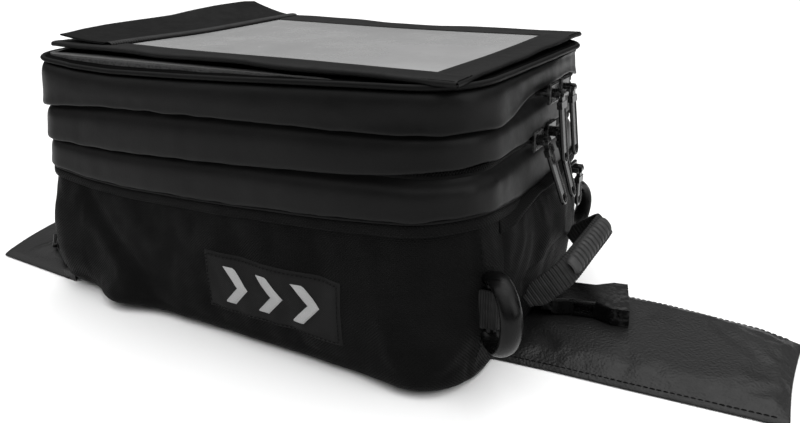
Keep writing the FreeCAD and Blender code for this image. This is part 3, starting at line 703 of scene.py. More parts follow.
ACETAL = make_plastic("buckle_acetal", 0.0025, 0.005, 0.22, 0.36, 0.0, 0.06, 0.16)
RUBBER = make_plastic("grip_rubber", 0.017, 0.029, 0.5, 0.72, 0.0, 0.12, 0.35)
WEBBING = make_webbing()
FOAM = make_foam("foam_cells", 0.012, 0.05)
BOARD = make_board()
HOOKS = make_hook_tape()
WINDOW = make_window()
MAGNET = make_metal()
PAPER = make_floor()
POCKET_LINER = make_vinyl("map_liner", 0.35, 0.37, 0.5, 0.7, 1.2, 0.05)


def dress(piece, body, slot, *nodes):
    """Put a finished piece on its body, in place of CAD nodes. The slot argument is not used."""
    if body:
        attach(piece, body)
    if nodes:
        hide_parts(*nodes)
    return piece


def recolour(node, material):
    """Give a CAD part that stays its finished material."""
    NODES[node].data.materials.clear()
    NODES[node].data.materials.append(material)


# ---- body shell ----
SHELL_ROWS = [0.0, 0.04, 0.1, 0.17, 0.24, 0.31, 0.38, 0.45, 0.52, 0.59, 0.66, 0.73, 0.79, 0.84,
              0.88, 0.915, 0.945, 0.97, 0.985]
FOOT_TOP = 11.0                   # height where the wall turns under
FOOT = [(1.8, 6.5), (-1.0, 2.6), (-5.5, 0.9), (-12.0, 0.5), (-22.0, 0.45), (-34.0, 0.45)]


def crease(u, z, ends, width, height):
    """Soft ridge along a line on the wall, from (u0, z0) to (u1, z1)."""
    (u0, z0), (u1, z1) = ends
    length = math.hypot(u1 - u0, z1 - z0)
    along = ((u - u0) * (u1 - u0) + (z - z0) * (z1 - z0)) / length
    across = ((z - z0) * (u1 - u0) - (u - u0) * (z1 - z0)) / length
    fade = ease(along, -12, 18) * (1 - ease(along, length - 18, length + 12))
    return height * fade * math.exp(-(across / width) ** 2)


CREASES = [(((-20, 92), (44, 20)), 8, 2.2), (((-8, 92), (60, 26)), 7, -1.8),
           (((30, 90), (84, 44)), 9, 1.2), (((120, 88), (70, 30)), 10, -1.0),
           (((150, 92), (190, 50)), 9, 1.0), (((250, 100), (272, 20)), 8, -1.4),
           (((240, 98), (262, 16)), 7, 1.4), (((330, 70), (352, 96)), 6, 1.4),
           (((610, 90), (680, 30)), 9, 1.8), (((720, 92), (650, 40)), 9, -1.4),
           (((880, 88), (930, 30)), 8, 1.6), (((960, 92), (920, 40)), 8, -1.4)]
SEAM_Y = 90.0                     # where the long panels meet the end panels
SEAM_TURN = CORNER * math.asin((SEAM_Y - FLAT_Y) / CORNER)
SEAM_US = [U_END - SEAM_TURN, U_END_FAR + SEAM_TURN, U_LEFT - LEFT_CENTRE[1] - SEAM_Y,
           U_LEFT_END + LEFT_CENTRE[1] + SEAM_Y]


def wall_off(u, z):
    """How far the nylon wall stands out at u and height z."""
    from_left = (u + ROUND / 2) % ROUND - ROUND / 2      # distance from x = -FLAT_X
    off = 1.2 + 2.2 * math.sin(math.pi * np.clip((z - 4) / 96, 0, 1)) ** 1.2
    off += 5.0 * bump(u, U_FRONT_END + 8, 24) * bump(z, 6, 16)
    off -= 3.0 * bump(u, U_FRONT_END + 52, 20) * bump(z, 6, 18)
    off += 12.5 * bump(from_left, 33, 24) * bump(z, 2, 24)
    off -= 5.0 * bump(from_left, -8, 16) * bump(z, 2, 14)
    off += 6.5 * bump(from_left, -24, 24) * bump(z, 44, 34)
    off += 3.0 * bump(from_left, 60, 60) * bump(z, 4, 20)
    off -= 3.0 * bump(u, U_END + 30, 40) * bump(z, 6, 20)
    for ends, width, height in CREASES:
        off += crease(u, z, ends, width, height)
    for seam in SEAM_US:
        off -= 1.5 * bump(u, seam, 1.9) - 0.9 * bump(u, seam + 4.5, 2.6)
    off += 0.9 * rough(u, 0, z, 46.0, 3.0) + 0.35 * rough(u, 0, z, 17.0, 9.0)
    return off


def shell_profile(u):
    top = float(HEM(u)) - 5.0
    heights = [top - (top - FOOT_TOP) * t / SHELL_ROWS[-1] for t in SHELL_ROWS]
    rows = [(wall_off(u, z), z) for z in heights]
    lift = 4.0 * float(bump(u, U_LEFT_END + 10, 40) + bump(u, U_LEFT - 10, 40))
    swell = wall_off(u, FOOT_TOP) - 1.8
    foot = [(off + swell * (1 if off > 0 else 0.4), z + lift * (1 if z > 2 else 0.5))
            for off, z in FOOT]
    return rows + foot


shell_grid = ring_grid(shell_profile)
shell = grid_mesh("body_shell", shell_grid, NYLON, wrap_columns=True)


# ---- bands ----
BAND_OUT = [(0.0, -1.2), (0.07, -0.6), (0.14, 0.4), (0.21, 2.0), (0.3, 3.9), (0.42, 4.9),
            (0.56, 5.3), (0.7, 5.6), (0.84, 6.0), (0.95, 6.4), (1.0, 6.2)]
LID_BAND_OUT = [(0.0, 1.2), (0.06, 2.8), (0.14, 4.1), (0.24, 4.8), (0.36, 5.1), (0.5, 5.2),
                (0.62, 5.3), (0.74, 5.5), (0.86, 5.9), (0.95, 6.4), (1.0, 6.2)]
BAND_IN = [(4.9, -0.5), (2.6, 1.2), (0.6, 4.5), (-0.4, 9.0)]
BAND_FREE = len(BAND_OUT) - 1     # last row of a band that the cloth run may move


def band_grid(top, foot, drape=0.0, outside=BAND_OUT):
    """Closed profile of one padded strip between two levels; its foot hangs free."""
    def profile(u):
        high, low = float(top(u)), float(foot(u))
        corner = bump(u, U_FRONT_END + 45, 34) + bump(u, U_REAR - 45, 34)
        low += (0.55 + 0.8 * corner) * rough(u, 3, low, 14.0, drape)
        ruffle = (0.3 + 1.3 * corner) * rough(u, 0, low, 13.0, drape)
        ruffle += 0.9 * rough(u, 0, low, 60.0, drape)
        drawn_in = -4.0 * bump(u, U_END_FAR + 6, 55)
        outer = [(off + drape * t + drawn_in * ease(t, 0, 0.2) + ruffle * t * (1.1 - t) * 1.6,
                  high - (high - low) * t) for t, off in outside]
        inner = [(off + drape * 0.8 + drawn_in, low + up) for off, up in BAND_IN]
        return outer + inner + [(-2.6, high - 1.0)]
    return ring_grid(profile)


def band_pins(grid):
    """Points sewn down: the top edge and the inside."""
    rows, columns = grid.shape[:2]
    return [r * columns + c for r in range(rows)
            if r < 1 or r > BAND_FREE for c in range(columns)]


lid_band_grid = band_grid(lambda u: LID_EDGE(u) - 2.4, SEAM_1, 0.4, LID_BAND_OUT)
upper_band_grid = band_grid(lambda u: LID_ZIP(u) - 2.6, SEAM_2, 0.2)
lower_band_grid = band_grid(lambda u: EXP_ZIP(u) - 3.0, lambda u: HEM(u) + 0.5, -0.2)
lid_band = grid_mesh("lid_band_cover", lid_band_grid, VINYL, True, True)
upper_band = grid_mesh("upper_band_cover", upper_band_grid, VINYL, True, True)
lower_band = grid_mesh("lower_band_cover", lower_band_grid, VINYL, True, True)


# ---- right flap and left flap ----
FLAP_ROWS, FLAP_COLUMNS = 30, 54
LEFT_ROWS, LEFT_COLUMNS = 48, 44
FLAP_LOW, FLAP_HIGH = cad("flap_right")
FLAP_EDGE = [(FLAP_LOW[0] - 9, -56.3), (205, -51.3), (250, -46.8), (FLAP_HIGH[0] - 3.7, -37.5),
             (FLAP_HIGH[0] - 0.2, 56.3), (311, 66.3), (255, 69.8), (FLAP_LOW[0] - 9, 66)]


def flap_row(x, edge_near, edge_far, height, margin):
    """Cross-section of a padded flap: flat underside, sewn margins, crowned between them."""
    top, bottom = [], []
    for k in range(FLAP_ROWS + 1):
        t = k / FLAP_ROWS
        y = edge_near + (edge_far - edge_near) * t
        inset = min(y - edge_near, edge_far - y)
        lift = 3.2 + (height - 3.2) * float(ease(inset, margin * 0.6, margin + 9))
        lift *= 0.35 + 0.65 * float(ease(inset, -0.6, 2.4))
        top.append((x, y, lift))
        bottom.append((x, y, 0.35))
    return top + bottom[::-1]


def right_flap_grid():
    """Long flap, its tip skewed and a little hollow."""
    x0, x1 = FLAP_EDGE[0][0], FLAP_EDGE[3][0]
    near = np.array(FLAP_EDGE[:4])
    far = np.array(FLAP_EDGE[4:])[::-1]
    rows = []
    for k in range(FLAP_COLUMNS + 1):
        x = x0 + (x1 - x0) * (k / FLAP_COLUMNS) ** 0.9
        low = np.interp(x, near[:, 0], near[:, 1])
        high = np.interp(x, far[:, 0], far[:, 1])
        end = float(ease(x1 - x, 0, 9))
        root = float(ease(x, x0, x0 + 18))
        height = 3.2 + (FLAP_HIGH[2] - 2.2 - 3.2) * end * root
        rows.append(flap_row(x, low, high, height, 6.0))
    rows = np.array(rows)
    skew = ease(rows[:, :, 0], x1 - 34, x1) * (0.5 + 0.5 * rows[:, :, 1] / 60) * 4.5
    bow = ease(rows[:, :, 0], x1 - 60, x1) * 2.0 * np.cos(rows[:, :, 1] / 50 * math.pi / 2)
    rows[:, :, 0] += skew - bow
    return rows.transpose(1, 0, 2)


right_grid = right_flap_grid()
right_flap = close_sides("right_flap_pad", right_grid, FLAP_VINYL)

LEFT_LOW, LEFT_HIGH = cad("flap_left")


def left_flap_grid():
    """Wide flap with a rounded tip, a thin margin and a raised magnet pad inboard."""
    x0, shoulder, reach = LEFT_HIGH[0] + 6, -261.0, LEFT_LOW[0] - 2.5
    rows = []
    for k in range(LEFT_COLUMNS + 1):
        x = x0 + (reach - x0) * k / LEFT_COLUMNS
        half = LEFT_HIGH[1] + 0.8
        if x < shoulder:
            sag = (shoulder - x) / (shoulder - reach)
            half *= math.sqrt(max(0.0, 1 - sag)) * 0.985 + 0.015
        pad = float(ease(-x, 182, 192) * (1 - ease(-x, 236, 247)))
        end = float(ease(x - reach, 0, 5))
        height = 3.6 + (LEFT_HIGH[2] - 1.0 - 3.6) * pad
        top, bottom = [], []
        for j in range(LEFT_ROWS + 1):
            y = -half + 2 * half * j / LEFT_ROWS
            inset = half - abs(y)
            lift = 3.4 * (0.35 + 0.65 * float(ease(inset, -0.6, 2.4)))
            lift += (height - 3.4) * float(ease(inset, 13, 24))
            top.append((x, y, 0.35 + (lift - 0.35) * (0.3 + 0.7 * end)))
            bottom.append((x, y, 0.35))
        rows.append(top + bottom[::-1])
    return np.array(rows).transpose(1, 0, 2)[::-1]


left_grid = left_flap_grid()
left_flap = close_sides("left_flap_pad", left_grid, FLAP_VINYL)


def upper_points(piece, height):
    """Points higher than that, which a cloth run may move."""
    return np.where(coordinates(piece)[:, 2] > height)[0]


def pins_except(piece, free):
    """All the points but those."""
    return np.setdiff1d(np.arange(len(piece.data.vertices)), free)


shell_rows, shell_columns = shell_grid.shape[:2]
shell_pins = [r * shell_columns + c for r in range(shell_rows)
              if r < 2 or r > len(SHELL_ROWS) - 2 for c in range(shell_columns)]
settle([(shell, shell_pins, 0.8, 0.006, 4.0),
        (lid_band, band_pins(lid_band_grid), 0.9, 0.0, 1.4),
        (upper_band, band_pins(upper_band_grid), 0.9, 0.0, 1.4),
        (lower_band, band_pins(lower_band_grid), 0.9, 0.0, 1.4),
        (right_flap, pins_except(right_flap, upper_points(right_flap, 4.0)), 1.5, 0.012, 3.0),
        (left_flap, pins_except(left_flap, upper_points(left_flap, 3.9)), 1.0, 0.01, 2.5)])

flap_points = coordinates(right_flap)
flap_top = FLAP_HIGH[2] - 0.3
flap_points[:, 2] = np.minimum(flap_points[:, 2], flap_top)
set_coordinates(right_flap, flap_points)
shell_grid = coordinates(shell).reshape(shell_rows, shell_columns, 3)
for piece in (lid_band, upper_band, lower_band, right_flap, left_flap, shell):
    subdivide(piece)


def on_wall(u, z, lift):
    """Point on the finished nylon wall at u and height z, moved out by lift."""
    column = (u % ROUND) / ROUND * COLUMNS
    first = int(column) % COLUMNS
    share = column - int(column)
    line = shell_grid[:, first] * (1 - share) + shell_grid[:, (first + 1) % COLUMNS] * share
    wall = line[:len(SHELL_ROWS) + 1]
    point = [np.interp(-z, -wall[:, 2], wall[:, k]) for k in range(2)]
    return np.array([*(np.array(point) + plan(u)[1] * lift), z])


dress(shell, "bag_body", "nylon", "front_panel", "rear_panel", "end_panel_right",
      "end_panel_left", "base_panel")
thicken(shell, 1.2)
dress(lid_band, "lid", "vinyl", "lid_band")
dress(upper_band, "expansion", "vinyl", "upper_band")
dress(lower_band, "bag_body", "vinyl", "lower_band")


# ---- piping, rolled hem ----
def ring_tube(name, heights, off, half_out, half_up, material, count=12, power=1.0, wobble=0.0):
    """Cord or strip round the bag at a level, its section an oval."""
    section = oval(half_out, half_up, count, power)

    def profile(u):
        shift = wobble * rough(u, 0, 0, 24.0, half_up)
        return [(off + shift + a, float(heights(u)) + b) for a, b in section][::-1]
    return grid_mesh(name, ring_grid(profile), material, True, True)


lid_cord = ring_tube("lid_piping_cord", lambda u: LID_EDGE(u) - 0.2, 2.6, 1.9, 1.7, PIPING,
                     wobble=0.4)
dress(lid_cord, "lid", "piping", "lid_piping")
hem_cord = ring_tube("hem_cord", lambda u: HEM(u) - 0.6, 3.6, 1.4, 1.3, PIPING, wobble=0.25)
dress(hem_cord, "bag_body", "piping", "hem_piping")
hem_roll = ring_tube("hem_roll", lambda u: HEM(u) - 5.4, 2.6, 2.3, 3.9, NYLON, 14, 0.8, 0.4)
dress(hem_roll, "bag_body", "nylon")


# ---- zips: tapes and teeth ----
def zip_half(name, line, side, body, node):
    """One tape and its row of teeth. side is 1 above the parting line, -1 below it."""
    def profile(u):
        z = float(line(u))
        near, far = sorted((z + side * 0.5, z + side * 5.5))
        return [(off, zz) for off, zz in ((-0.9, far), (-0.9, near), (-2.0, near), (-2.0, far))]
    tape = grid_mesh(name + "_tape", ring_grid(profile), TAPE, True, True)
    dress(tape, body, "zip_tape", node)
    points, faces = [], []
    pitch = 1.9
    for k in range(int(ROUND / pitch)):
        u = (k + (0.5 if side > 0 else 0.0)) * pitch
        (x, y), out = plan(u, -0.5)
        along = np.array([-out[1], out[0]])
        z = float(line(u)) + side * 0.55
        start = len(points)
        for a in (-0.55, 0.55):
            for b, c in ((-0.9, -1.0), (0.7, -1.0), (0.9, 0.9), (-0.9, 0.9)):
                points.append((x + along[0] * a + out[0] * b, y + along[1] * a + out[1] * b,
                               z + c))
        quads = [(3, 2, 1, 0), (4, 5, 6, 7), (0, 1, 5, 4), (1, 2, 6, 5), (2, 3, 7, 6),
                 (3, 0, 4, 7)]
        faces += [[start + i for i in quad] for quad in quads]
    teeth = add_mesh(name + "_teeth", points, faces, TEETH)
    dress(teeth, body, "zip_tape")


zip_half("lid_zip_high", LID_ZIP, 1, "lid", "lid_zip_upper")
zip_half("lid_zip_low", LID_ZIP, -1, "expansion", "lid_zip_lower")
zip_half("expansion_zip_high", EXP_ZIP, 1, "expansion", "expansion_zip_upper")
zip_half("expansion_zip_low", EXP_ZIP, -1, "bag_body", "expansion_zip_lower")


# ---- gusset and lining ----
GUSSET_LOW, GUSSET_HIGH = (corner[2] for corner in cad("expansion_gusset"))


def gusset_profile(u):
    rows = []
    for share in np.arange(25) / 24:
        z = GUSSET_HIGH - 1.5 + (GUSSET_LOW + 3 - GUSSET_HIGH) * share
        rows.append((-5.5 + 2.6 * math.cos(share * 6 * math.pi)
                     + 0.5 * rough(u, 0, z, 9.0, 5.0), z))
    return rows


gusset = grid_mesh("gusset_pleats", ring_grid(gusset_profile), GUSSET, wrap_columns=True)
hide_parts("expansion_gusset")
thicken(gusset, 0.5)

LINING_LOW, LINING_HIGH = (corner[2] for corner in cad("inner_lining"))


def lining_profile(u):
    rows = []
    for k in range(24):
        z = LINING_HIGH - (LINING_HIGH - LINING_LOW - 4) * k / 23
        rows.append((-7.0 - 0.9 * (1 + rough(u, 0, z, 30.0, 2.0)), z))
    foot = [(-10, LINING_LOW + 2.2), (-16, LINING_LOW + 1.2), (-30, LINING_LOW + 1.0)]
    return rows + foot


def fill_middle(grid, z, steps):
    """More rows that shrink the last one to the middle of the bag."""
    last = grid[-1]
    rows = [np.column_stack([last[:, 0] * s, last[:, 1] * s, np.full(len(last), z)])
            for s in steps]
    return np.vstack([grid, rows])


lining_rows = fill_middle(ring_grid(lining_profile), LINING_LOW + 1.0,
                          (0.8, 0.6, 0.4, 0.2, 0.004))
lining = grid_mesh("lining_tray", lining_rows, LINING, wrap_columns=True)
dress(lining, "bag_body", "lining", "inner_lining")
thicken(lining, 0.5)

base_rows = [shell_grid[-1]] + [shell_grid[-1] * [s, s, 1] for s in (0.75, 0.5, 0.25, 0.004)]
base_cloth = grid_mesh("base_cloth", np.array(base_rows), NYLON, wrap_columns=True)
dress(base_cloth, "bag_body", "nylon")
thicken(base_cloth, 0.4)


# ---- lid skin ----
def skin_profile(u):
    edge = float(LID_EDGE(u)) + 0.6
    flat = Z_LID_SKIN - 1.2
    rows = [(2.2, edge - 0.6), (0.6, edge - 0.2)]
    for off, share in ((-2.0, 0.3), (-6, 0.6), (-12, 0.85), (-20, 1.0), (-30, 1.0), (-41.5, 1.0)):
        z = edge + (flat - edge) * share + 0.35 * rough(u, off, 0, 22.0, 7.0)
        rows.append((off, min(z, flat + 0.4)))
    return rows


skin_rows = fill_middle(ring_grid(skin_profile), Z_LID_SKIN - 1.2, (0.75, 0.5, 0.25, 0.004))
lid_skin = grid_mesh("lid_skin", skin_rows[::-1], SHADED_LID_VINYL, wrap_columns=True)
dress(lid_skin, "lid", "vinyl", "lid_panel")
thicken(lid_skin, 1.2)


# ---- map case ----
MAP_LOW, MAP_HIGH = cad("map_rim")
BACK_LOW = cad("map_backing")[0][2]
WIN_LOW, WIN_HIGH = cad("map_window")
WINDOW_X = (WIN_LOW[0] + 5, WIN_HIGH[0] - 5)
WINDOW_Y = (WIN_LOW[1] + 5, WIN_HIGH[1] - 5)
UNDER_RIM = 4                     # how far the pane and its liner reach under the rim


def map_drop(x, y):
    """How the limp map case lies: its near right corner sags, others lift a little."""
    corner = math.hypot(max(0, MAP_HIGH[0] - x) * 0.9, max(0, y - MAP_LOW[1]))
    drop = -1.4 * (1 - float(ease(corner, 0, 36))) ** 1.3
    far = float(ease(y, -40, MAP_HIGH[1]))
    left = float(ease(-x, -40, HALF_X))
    drop += 2.2 * far + 2.0 * far * left + 1.2 * left
    edge = float(ease(abs(y), 92, 113)) + float(ease(x, 146, 168))
    return drop + 1.0 * edge * rough(x, y, 0, 42.0, 4.0) + 0.3 * rough(x, y, 0, 90.0, 1.0)


def map_sheet(name, xs, ys, low, high, material):
    """Closed thin sheet over a grid of x and y, that lies as the map case does."""
    top = [[(x, y, high + map_drop(x, y)) for x in xs] for y in ys]
    under = [[(x, y, low + map_drop(x, y)) for x in xs] for y in ys]
    rows, columns = len(ys), len(xs)
    points = np.vstack([np.array(top).reshape(-1, 3), np.array(under).reshape(-1, 3)])
    count = rows * columns
    faces = []
    for r in range(rows - 1):
        for c in range(columns - 1):
            a = r * columns + c
            faces.append([a, a + 1, a + columns + 1, a + columns])
            faces.append([count + a, count + a + columns, count + a + columns + 1, count + a + 1])
    rim = ([(0, c) for c in range(columns)] + [(r, columns - 1) for r in range(1, rows)]
           + [(rows - 1, c) for c in range(columns - 2, -1, -1)]
           + [(r, 0) for r in range(rows - 2, 0, -1)])
    rim = [r * columns + c for r, c in rim]
    for a, b in zip(rim, rim[1:] + rim[:1]):
        faces.append([a, count + a, count + b, b])
    uvs = [points[k][:2] for face in faces for k in face]
    return add_mesh(name, points, faces, material, uvs)


map_xs = np.linspace(MAP_LOW[0] + 0.5, MAP_HIGH[0] - 0.5, 85)
map_ys = np.linspace(MAP_LOW[1] + 0.5, MAP_HIGH[1] - 0.5, 57)
map_back = map_sheet("map_back", map_xs, map_ys, BACK_LOW + 0.1, BACK_LOW + 1.1, RIM_VINYL)
dress(map_back, "map_case", "vinyl", "map_backing")

pane_xs = np.linspace(WINDOW_X[0] - UNDER_RIM, WINDOW_X[1] + UNDER_RIM, 60)
pane_ys = np.linspace(WINDOW_Y[0] - UNDER_RIM, WINDOW_Y[1] + UNDER_RIM, 44)
liner = map_sheet("map_liner", pane_xs, pane_ys, BACK_LOW + 1.15, BACK_LOW + 1.35,
                  POCKET_LINER)
dress(liner, "map_case", "window")
window = map_sheet("map_pane", pane_xs, pane_ys, BACK_LOW + 1.5, BACK_LOW + 1.9, WINDOW)
dress(window, "map_case", "window", "map_window")


def rim_strip(name, start, end, width, inward, taper=1.0):
    """Folded binding strip: rounded outer edge, stitched step on the inner edge."""
    start, end, inward = (np.array(v, float) for v in (start, end, inward))
    profile = [(0.0, -0.9), (-0.9, 0.0), (-0.9, 1.2), (-0.2, 2.1), (1.2, 2.7), (3.0, 2.9),
               (width * 0.45, 2.75), (width - 5.5, 2.8), (width - 4.6, 2.35),
               (width - 3.6, 2.75), (width - 1.4, 2.65), (width - 0.3, 2.2), (width, 1.6),
               (width, 0.9)]
    count = max(12, int(np.linalg.norm(end - start) / 4))
    grid = []
    for across, up in profile:
        row = []
        for k in range(count + 1):
            p = start + (end - start) * k / count + inward * across
            row.append((*p, BACK_LOW + 0.3 + up * taper + map_drop(*p)))
        grid.append(row)
    return grid_mesh(name, np.array(grid), RIM_VINYL, wrap_rows=True)


near_w, far_w = WINDOW_Y[0] - MAP_LOW[1], MAP_HIGH[1] - WINDOW_Y[1]
right_w = MAP_HIGH[0] - WINDOW_X[1]
x_lo, y_lo, x_hi, y_hi = MAP_LOW[0] + 1, MAP_LOW[1] + 1, MAP_HIGH[0] - 1, MAP_HIGH[1] - 1
LEFT_RIM = 12                     # width of the strip beside the closing flap
strips = [rim_strip("rim_near", (x_lo, y_lo), (x_hi, y_lo), near_w, (0, 1)),
          rim_strip("rim_far", (x_hi, y_hi), (x_lo, y_hi), far_w, (0, -1)),
          rim_strip("rim_right", (x_hi, y_lo + 0.5), (x_hi, y_hi - 0.5), right_w,
                    (-1, 0), 0.93),
          rim_strip("rim_left", (WINDOW_X[0] - LEFT_RIM, y_hi - far_w + UNDER_RIM),
                    (WINDOW_X[0] - LEFT_RIM, y_lo + near_w - UNDER_RIM), LEFT_RIM, (1, 0),
                    0.93)]
map_rim = join("map_rim_binding", strips)
dress(map_rim, "map_case", "vinyl", "map_rim")

CURL_LOW, CURL_HIGH = cad("map_flap")
CURL_ROWS, CURL_COLUMNS = 24, 59
CURL_YS = [-113, -100, -88, -67, -41, 0, 25, 54, 94, 113]
CURL_ZS = [3.6, 4.6, 6.0, 7.4, 8.3, 9.2, 11.2, 12.7, 13.5, 11.8]   # free edge above the case


def curl_lift(t, y):
    """Height of the closing flap above the case, t from its hinge to its free edge."""
    return 0.6 + (float(np.interp(y, CURL_YS, CURL_ZS)) - 0.6) * t ** 1.5


curl_grid = []
for j in range(CURL_COLUMNS + 1):
    y = CURL_LOW[1] + (CURL_HIGH[1] - CURL_LOW[1]) * j / CURL_COLUMNS
    section = []
    for k in range(CURL_ROWS + 1):
        t = k / CURL_ROWS
        x = CURL_HIGH[0] - (CURL_HIGH[0] - CURL_LOW[0]) * t
        x += 4.0 * t ** 3
        section.append((x, y, MAP_HIGH[2] + 0.5 * map_drop(x, y) + curl_lift(t, y)))
    curl_grid.append(section)
curl_grid = np.array(curl_grid).transpose(1, 0, 2)
curl_over = curl_grid + [0, 0, 1.1]
curl_rows = np.concatenate([curl_over, curl_grid[::-1]])
map_flap = close_sides("map_closing_flap", curl_rows, CURL_VINYL)
dress(map_flap, "map_flap", "vinyl", "map_flap")

ribbed = Paint("ribbed_hem", "UV")
rib_height = waves(ribbed, 0, 2.2, 0.7)
ribbed.relief(rib_height, 0.7, 1.0)
rib_tone = ribbed.colours(ribbed.cloud(90, 4), (0.3, 0.018), (0.7, 0.032))
# painted shade: the colour goes darker in the grooves between the ribs
RIBBED = ribbed.finish(ribbed.mix(ribbed.ranged(rib_height, 0.8, 0.0, 0.0, 0.7), rib_tone, 0.005),
                       ribbed.ranged(ribbed.cloud(60), 0.5, 0.7), Specular_IOR_Level=0.12)
HEM_SECTION = [(0, 0.0), (0.6, 1.2), (2.0, 2.0), (5.0, 2.3), (8.0, 2.0), (9.4, 1.2),
               (10, 0.0)]
hem_ys = [CURL_LOW[1] + 2 + (CURL_HIGH[1] - CURL_LOW[1] - 4) * k / 89 for k in range(90)]
hem_grid = []
for across, up in HEM_SECTION:
    x = WINDOW_X[0] - 9.5 + across
    hem_grid.append([(x, y, MAP_HIGH[2] - 0.9 + up + map_drop(x, y)) for y in hem_ys])
flap_hem = grid_mesh("map_flap_hem", np.array(hem_grid)[::-1], RIBBED, wrap_rows=True)
dress(flap_hem, "map_case", "vinyl")


# ---- badge ----
BADGE_LOW, BADGE_HIGH = cad("badge_patch")


def front_u(x):
    """u of a point on the front panel."""
    return (x + FLAT_X) / EDGE_ALONG[0]


def wall_grid(rows, columns, place):
    """Grid of points on the wall. place(r, c) gives u, the height and the lift."""
    return np.array([[on_wall(*place(r, c)) for c in range(columns + 1)]
                     for r in range(rows + 1)])


BADGE_ROWS, BADGE_COLUMNS = 18, 40


def badge_place(r, c):
    """Thin cloth, its edges turned down to the wall."""
    x = BADGE_LOW[0] + (BADGE_HIGH[0] - BADGE_LOW[0]) * c / BADGE_COLUMNS
    z = BADGE_HIGH[2] + (BADGE_LOW[2] - BADGE_HIGH[2]) * r / BADGE_ROWS
    edge = min(r, BADGE_ROWS - r, c, BADGE_COLUMNS - c)
    return front_u(x), z, 1.3 - 1.2 * (edge == 0)


badge = grid_mesh("badge_cloth", wall_grid(BADGE_ROWS, BADGE_COLUMNS, badge_place), PATCH)
dress(badge, "bag_body", "badge", "badge_patch")

CHEVRON_LOW, CHEVRON_HIGH = cad("badge_chevrons")
middle = (CHEVRON_LOW[2] + CHEVRON_HIGH[2]) / 2
tall = (CHEVRON_HIGH[2] - CHEVRON_LOW[2]) / 2
ARM, TIP, PITCH = 9.0, 12.0, 27.0
MARK_ROWS, MARK_COLUMNS = 24, 8


def chevron_place(x, r, c):
    """One raised arrow mark that starts at x, its edges lower."""
    z = middle + tall * (1 - 2 * r / MARK_ROWS)
    shift = TIP * (1 - abs(z - middle) / tall)
    edge = c in (0, MARK_COLUMNS) or r in (0, MARK_ROWS)
    return front_u(x + shift + ARM * c / MARK_COLUMNS), z, 2.1 - 0.9 * edge


marks = []
for number in range(3):
    x = CHEVRON_LOW[0] + number * PITCH
    grid = wall_grid(MARK_ROWS, MARK_COLUMNS, lambda r, c: chevron_place(x, r, c))
    marks.append(grid_mesh("chevron_%d" % number, grid, PATCH_LIGHT))
chevrons = join("badge_marks", marks)
dress(chevrons, "bag_body", "badge_light", "badge_chevrons")


# ---- stitching ----
def stitches(name, path, length, gap, radius, body, material=STITCH):
    """Row of thread stitches along a path of (point, outward direction) pairs."""
    points = np.array([p for p, _ in path])
    outs = np.array([o for _, o in path])
    run = np.concatenate([[0], np.cumsum(np.linalg.norm(np.diff(points, axis=0), axis=1))])
    at = np.arange(length / 2, run[-1] - length / 2, length + gap)

    def sample(values, s):
        return np.array([np.interp(s, run, values[:, k]) for k in range(3)])
    verts, faces = [], []
    for s in at:
        out = sample(outs, s)
        out /= np.linalg.norm(out)
        ends = [sample(points, s - length / 2), sample(points, s + length / 2)]
        along = ends[1] - ends[0]
        side = np.cross(along / np.linalg.norm(along), out)
        start = len(verts)
        for t, scale, rise in ((0, 0.35, -0.7), (0.22, 1, 0.25), (0.5, 1.05, 0.5),
                               (0.78, 1, 0.25), (1, 0.35, -0.7)):
            centre = ends[0] + along * t + out * rise * radius
            for k in range(6):
                turn = k * math.pi / 3
                verts.append(centre + (side * math.cos(turn) + out * math.sin(turn))
                             * radius * scale)
        for ring in range(4):
            for k in range(6):
                a, b = start + ring * 6 + k, start + ring * 6 + (k + 1) % 6
                faces.append([a, b, b + 6, a + 6])
        faces.append([start + k for k in range(6)])
        faces.append([start + 24 + k for k in range(5, -1, -1)])
    piece = add_mesh(name, verts, faces, material)
    return dress(piece, body, "nylon")


def wall_path(us, zs, lift):
    """Line on the nylon wall, with its outward directions, for stitches."""
    return [(on_wall(u, z, lift), np.array([*plan(u)[1], 0.0])) for u, z in zip(us, zs)]


inset = 2.0
badge_path = []
(xa, _, za), (xb, _, zb) = BADGE_LOW + inset, BADGE_HIGH - inset
corners = [(xa, za), (xb, za), (xb, zb), (xa, zb)]
for (xa, za), (xb, zb) in zip(corners, corners[1:] + corners[:1]):
    for t in np.linspace(0, 1, 40):
        badge_path.append((on_wall(front_u(xa + (xb - xa) * t), za + (zb - za) * t, 1.5),
                           np.array([0, -1.0, 0])))
stitches("badge_stitches", badge_path, 2.2, 0.9, 0.32, "bag_body")
for k, seam in enumerate(SEAM_US):
    zs = np.linspace(96, 14, 50)
    stitches("panel_seam_stitches_%d" % k, wall_path([seam + 4.5] * 50, zs, 0.15), 2.6, 1.2,
             0.34, "bag_body")


def flap_seam(piece, grid, inset, end):
    """Line sewn on top of a finished flap, a little inside its edge."""
    rows, columns = grid.shape[:2]
    top = coordinates(piece).reshape(rows, columns, 3)[:rows // 2]
    sides = ([], [])
    for c in range(2, columns - end):
        line = top[:, c]
        run = np.concatenate([[0], np.cumsum(np.linalg.norm(np.diff(line, axis=0), axis=1))])
        for side, s in zip(sides, (inset, run[-1] - inset)):
            side.append(np.array([np.interp(s, run, line[:, k]) for k in range(3)]))
    return [[(p + [0, 0, 0.1], np.array([0, 0, 1.0])) for p in side] for side in sides]


for flap, grid, inset, end in ((right_flap, right_grid, 4.0, 2), (left_flap, left_grid, 4.5, 14)):
    for side, seam in zip("ab", flap_seam(flap, grid, inset, end)):
        stitches(flap.name + "_seam_" + side, seam, 3.2, 0.5, 0.28, flap.name[:-4])


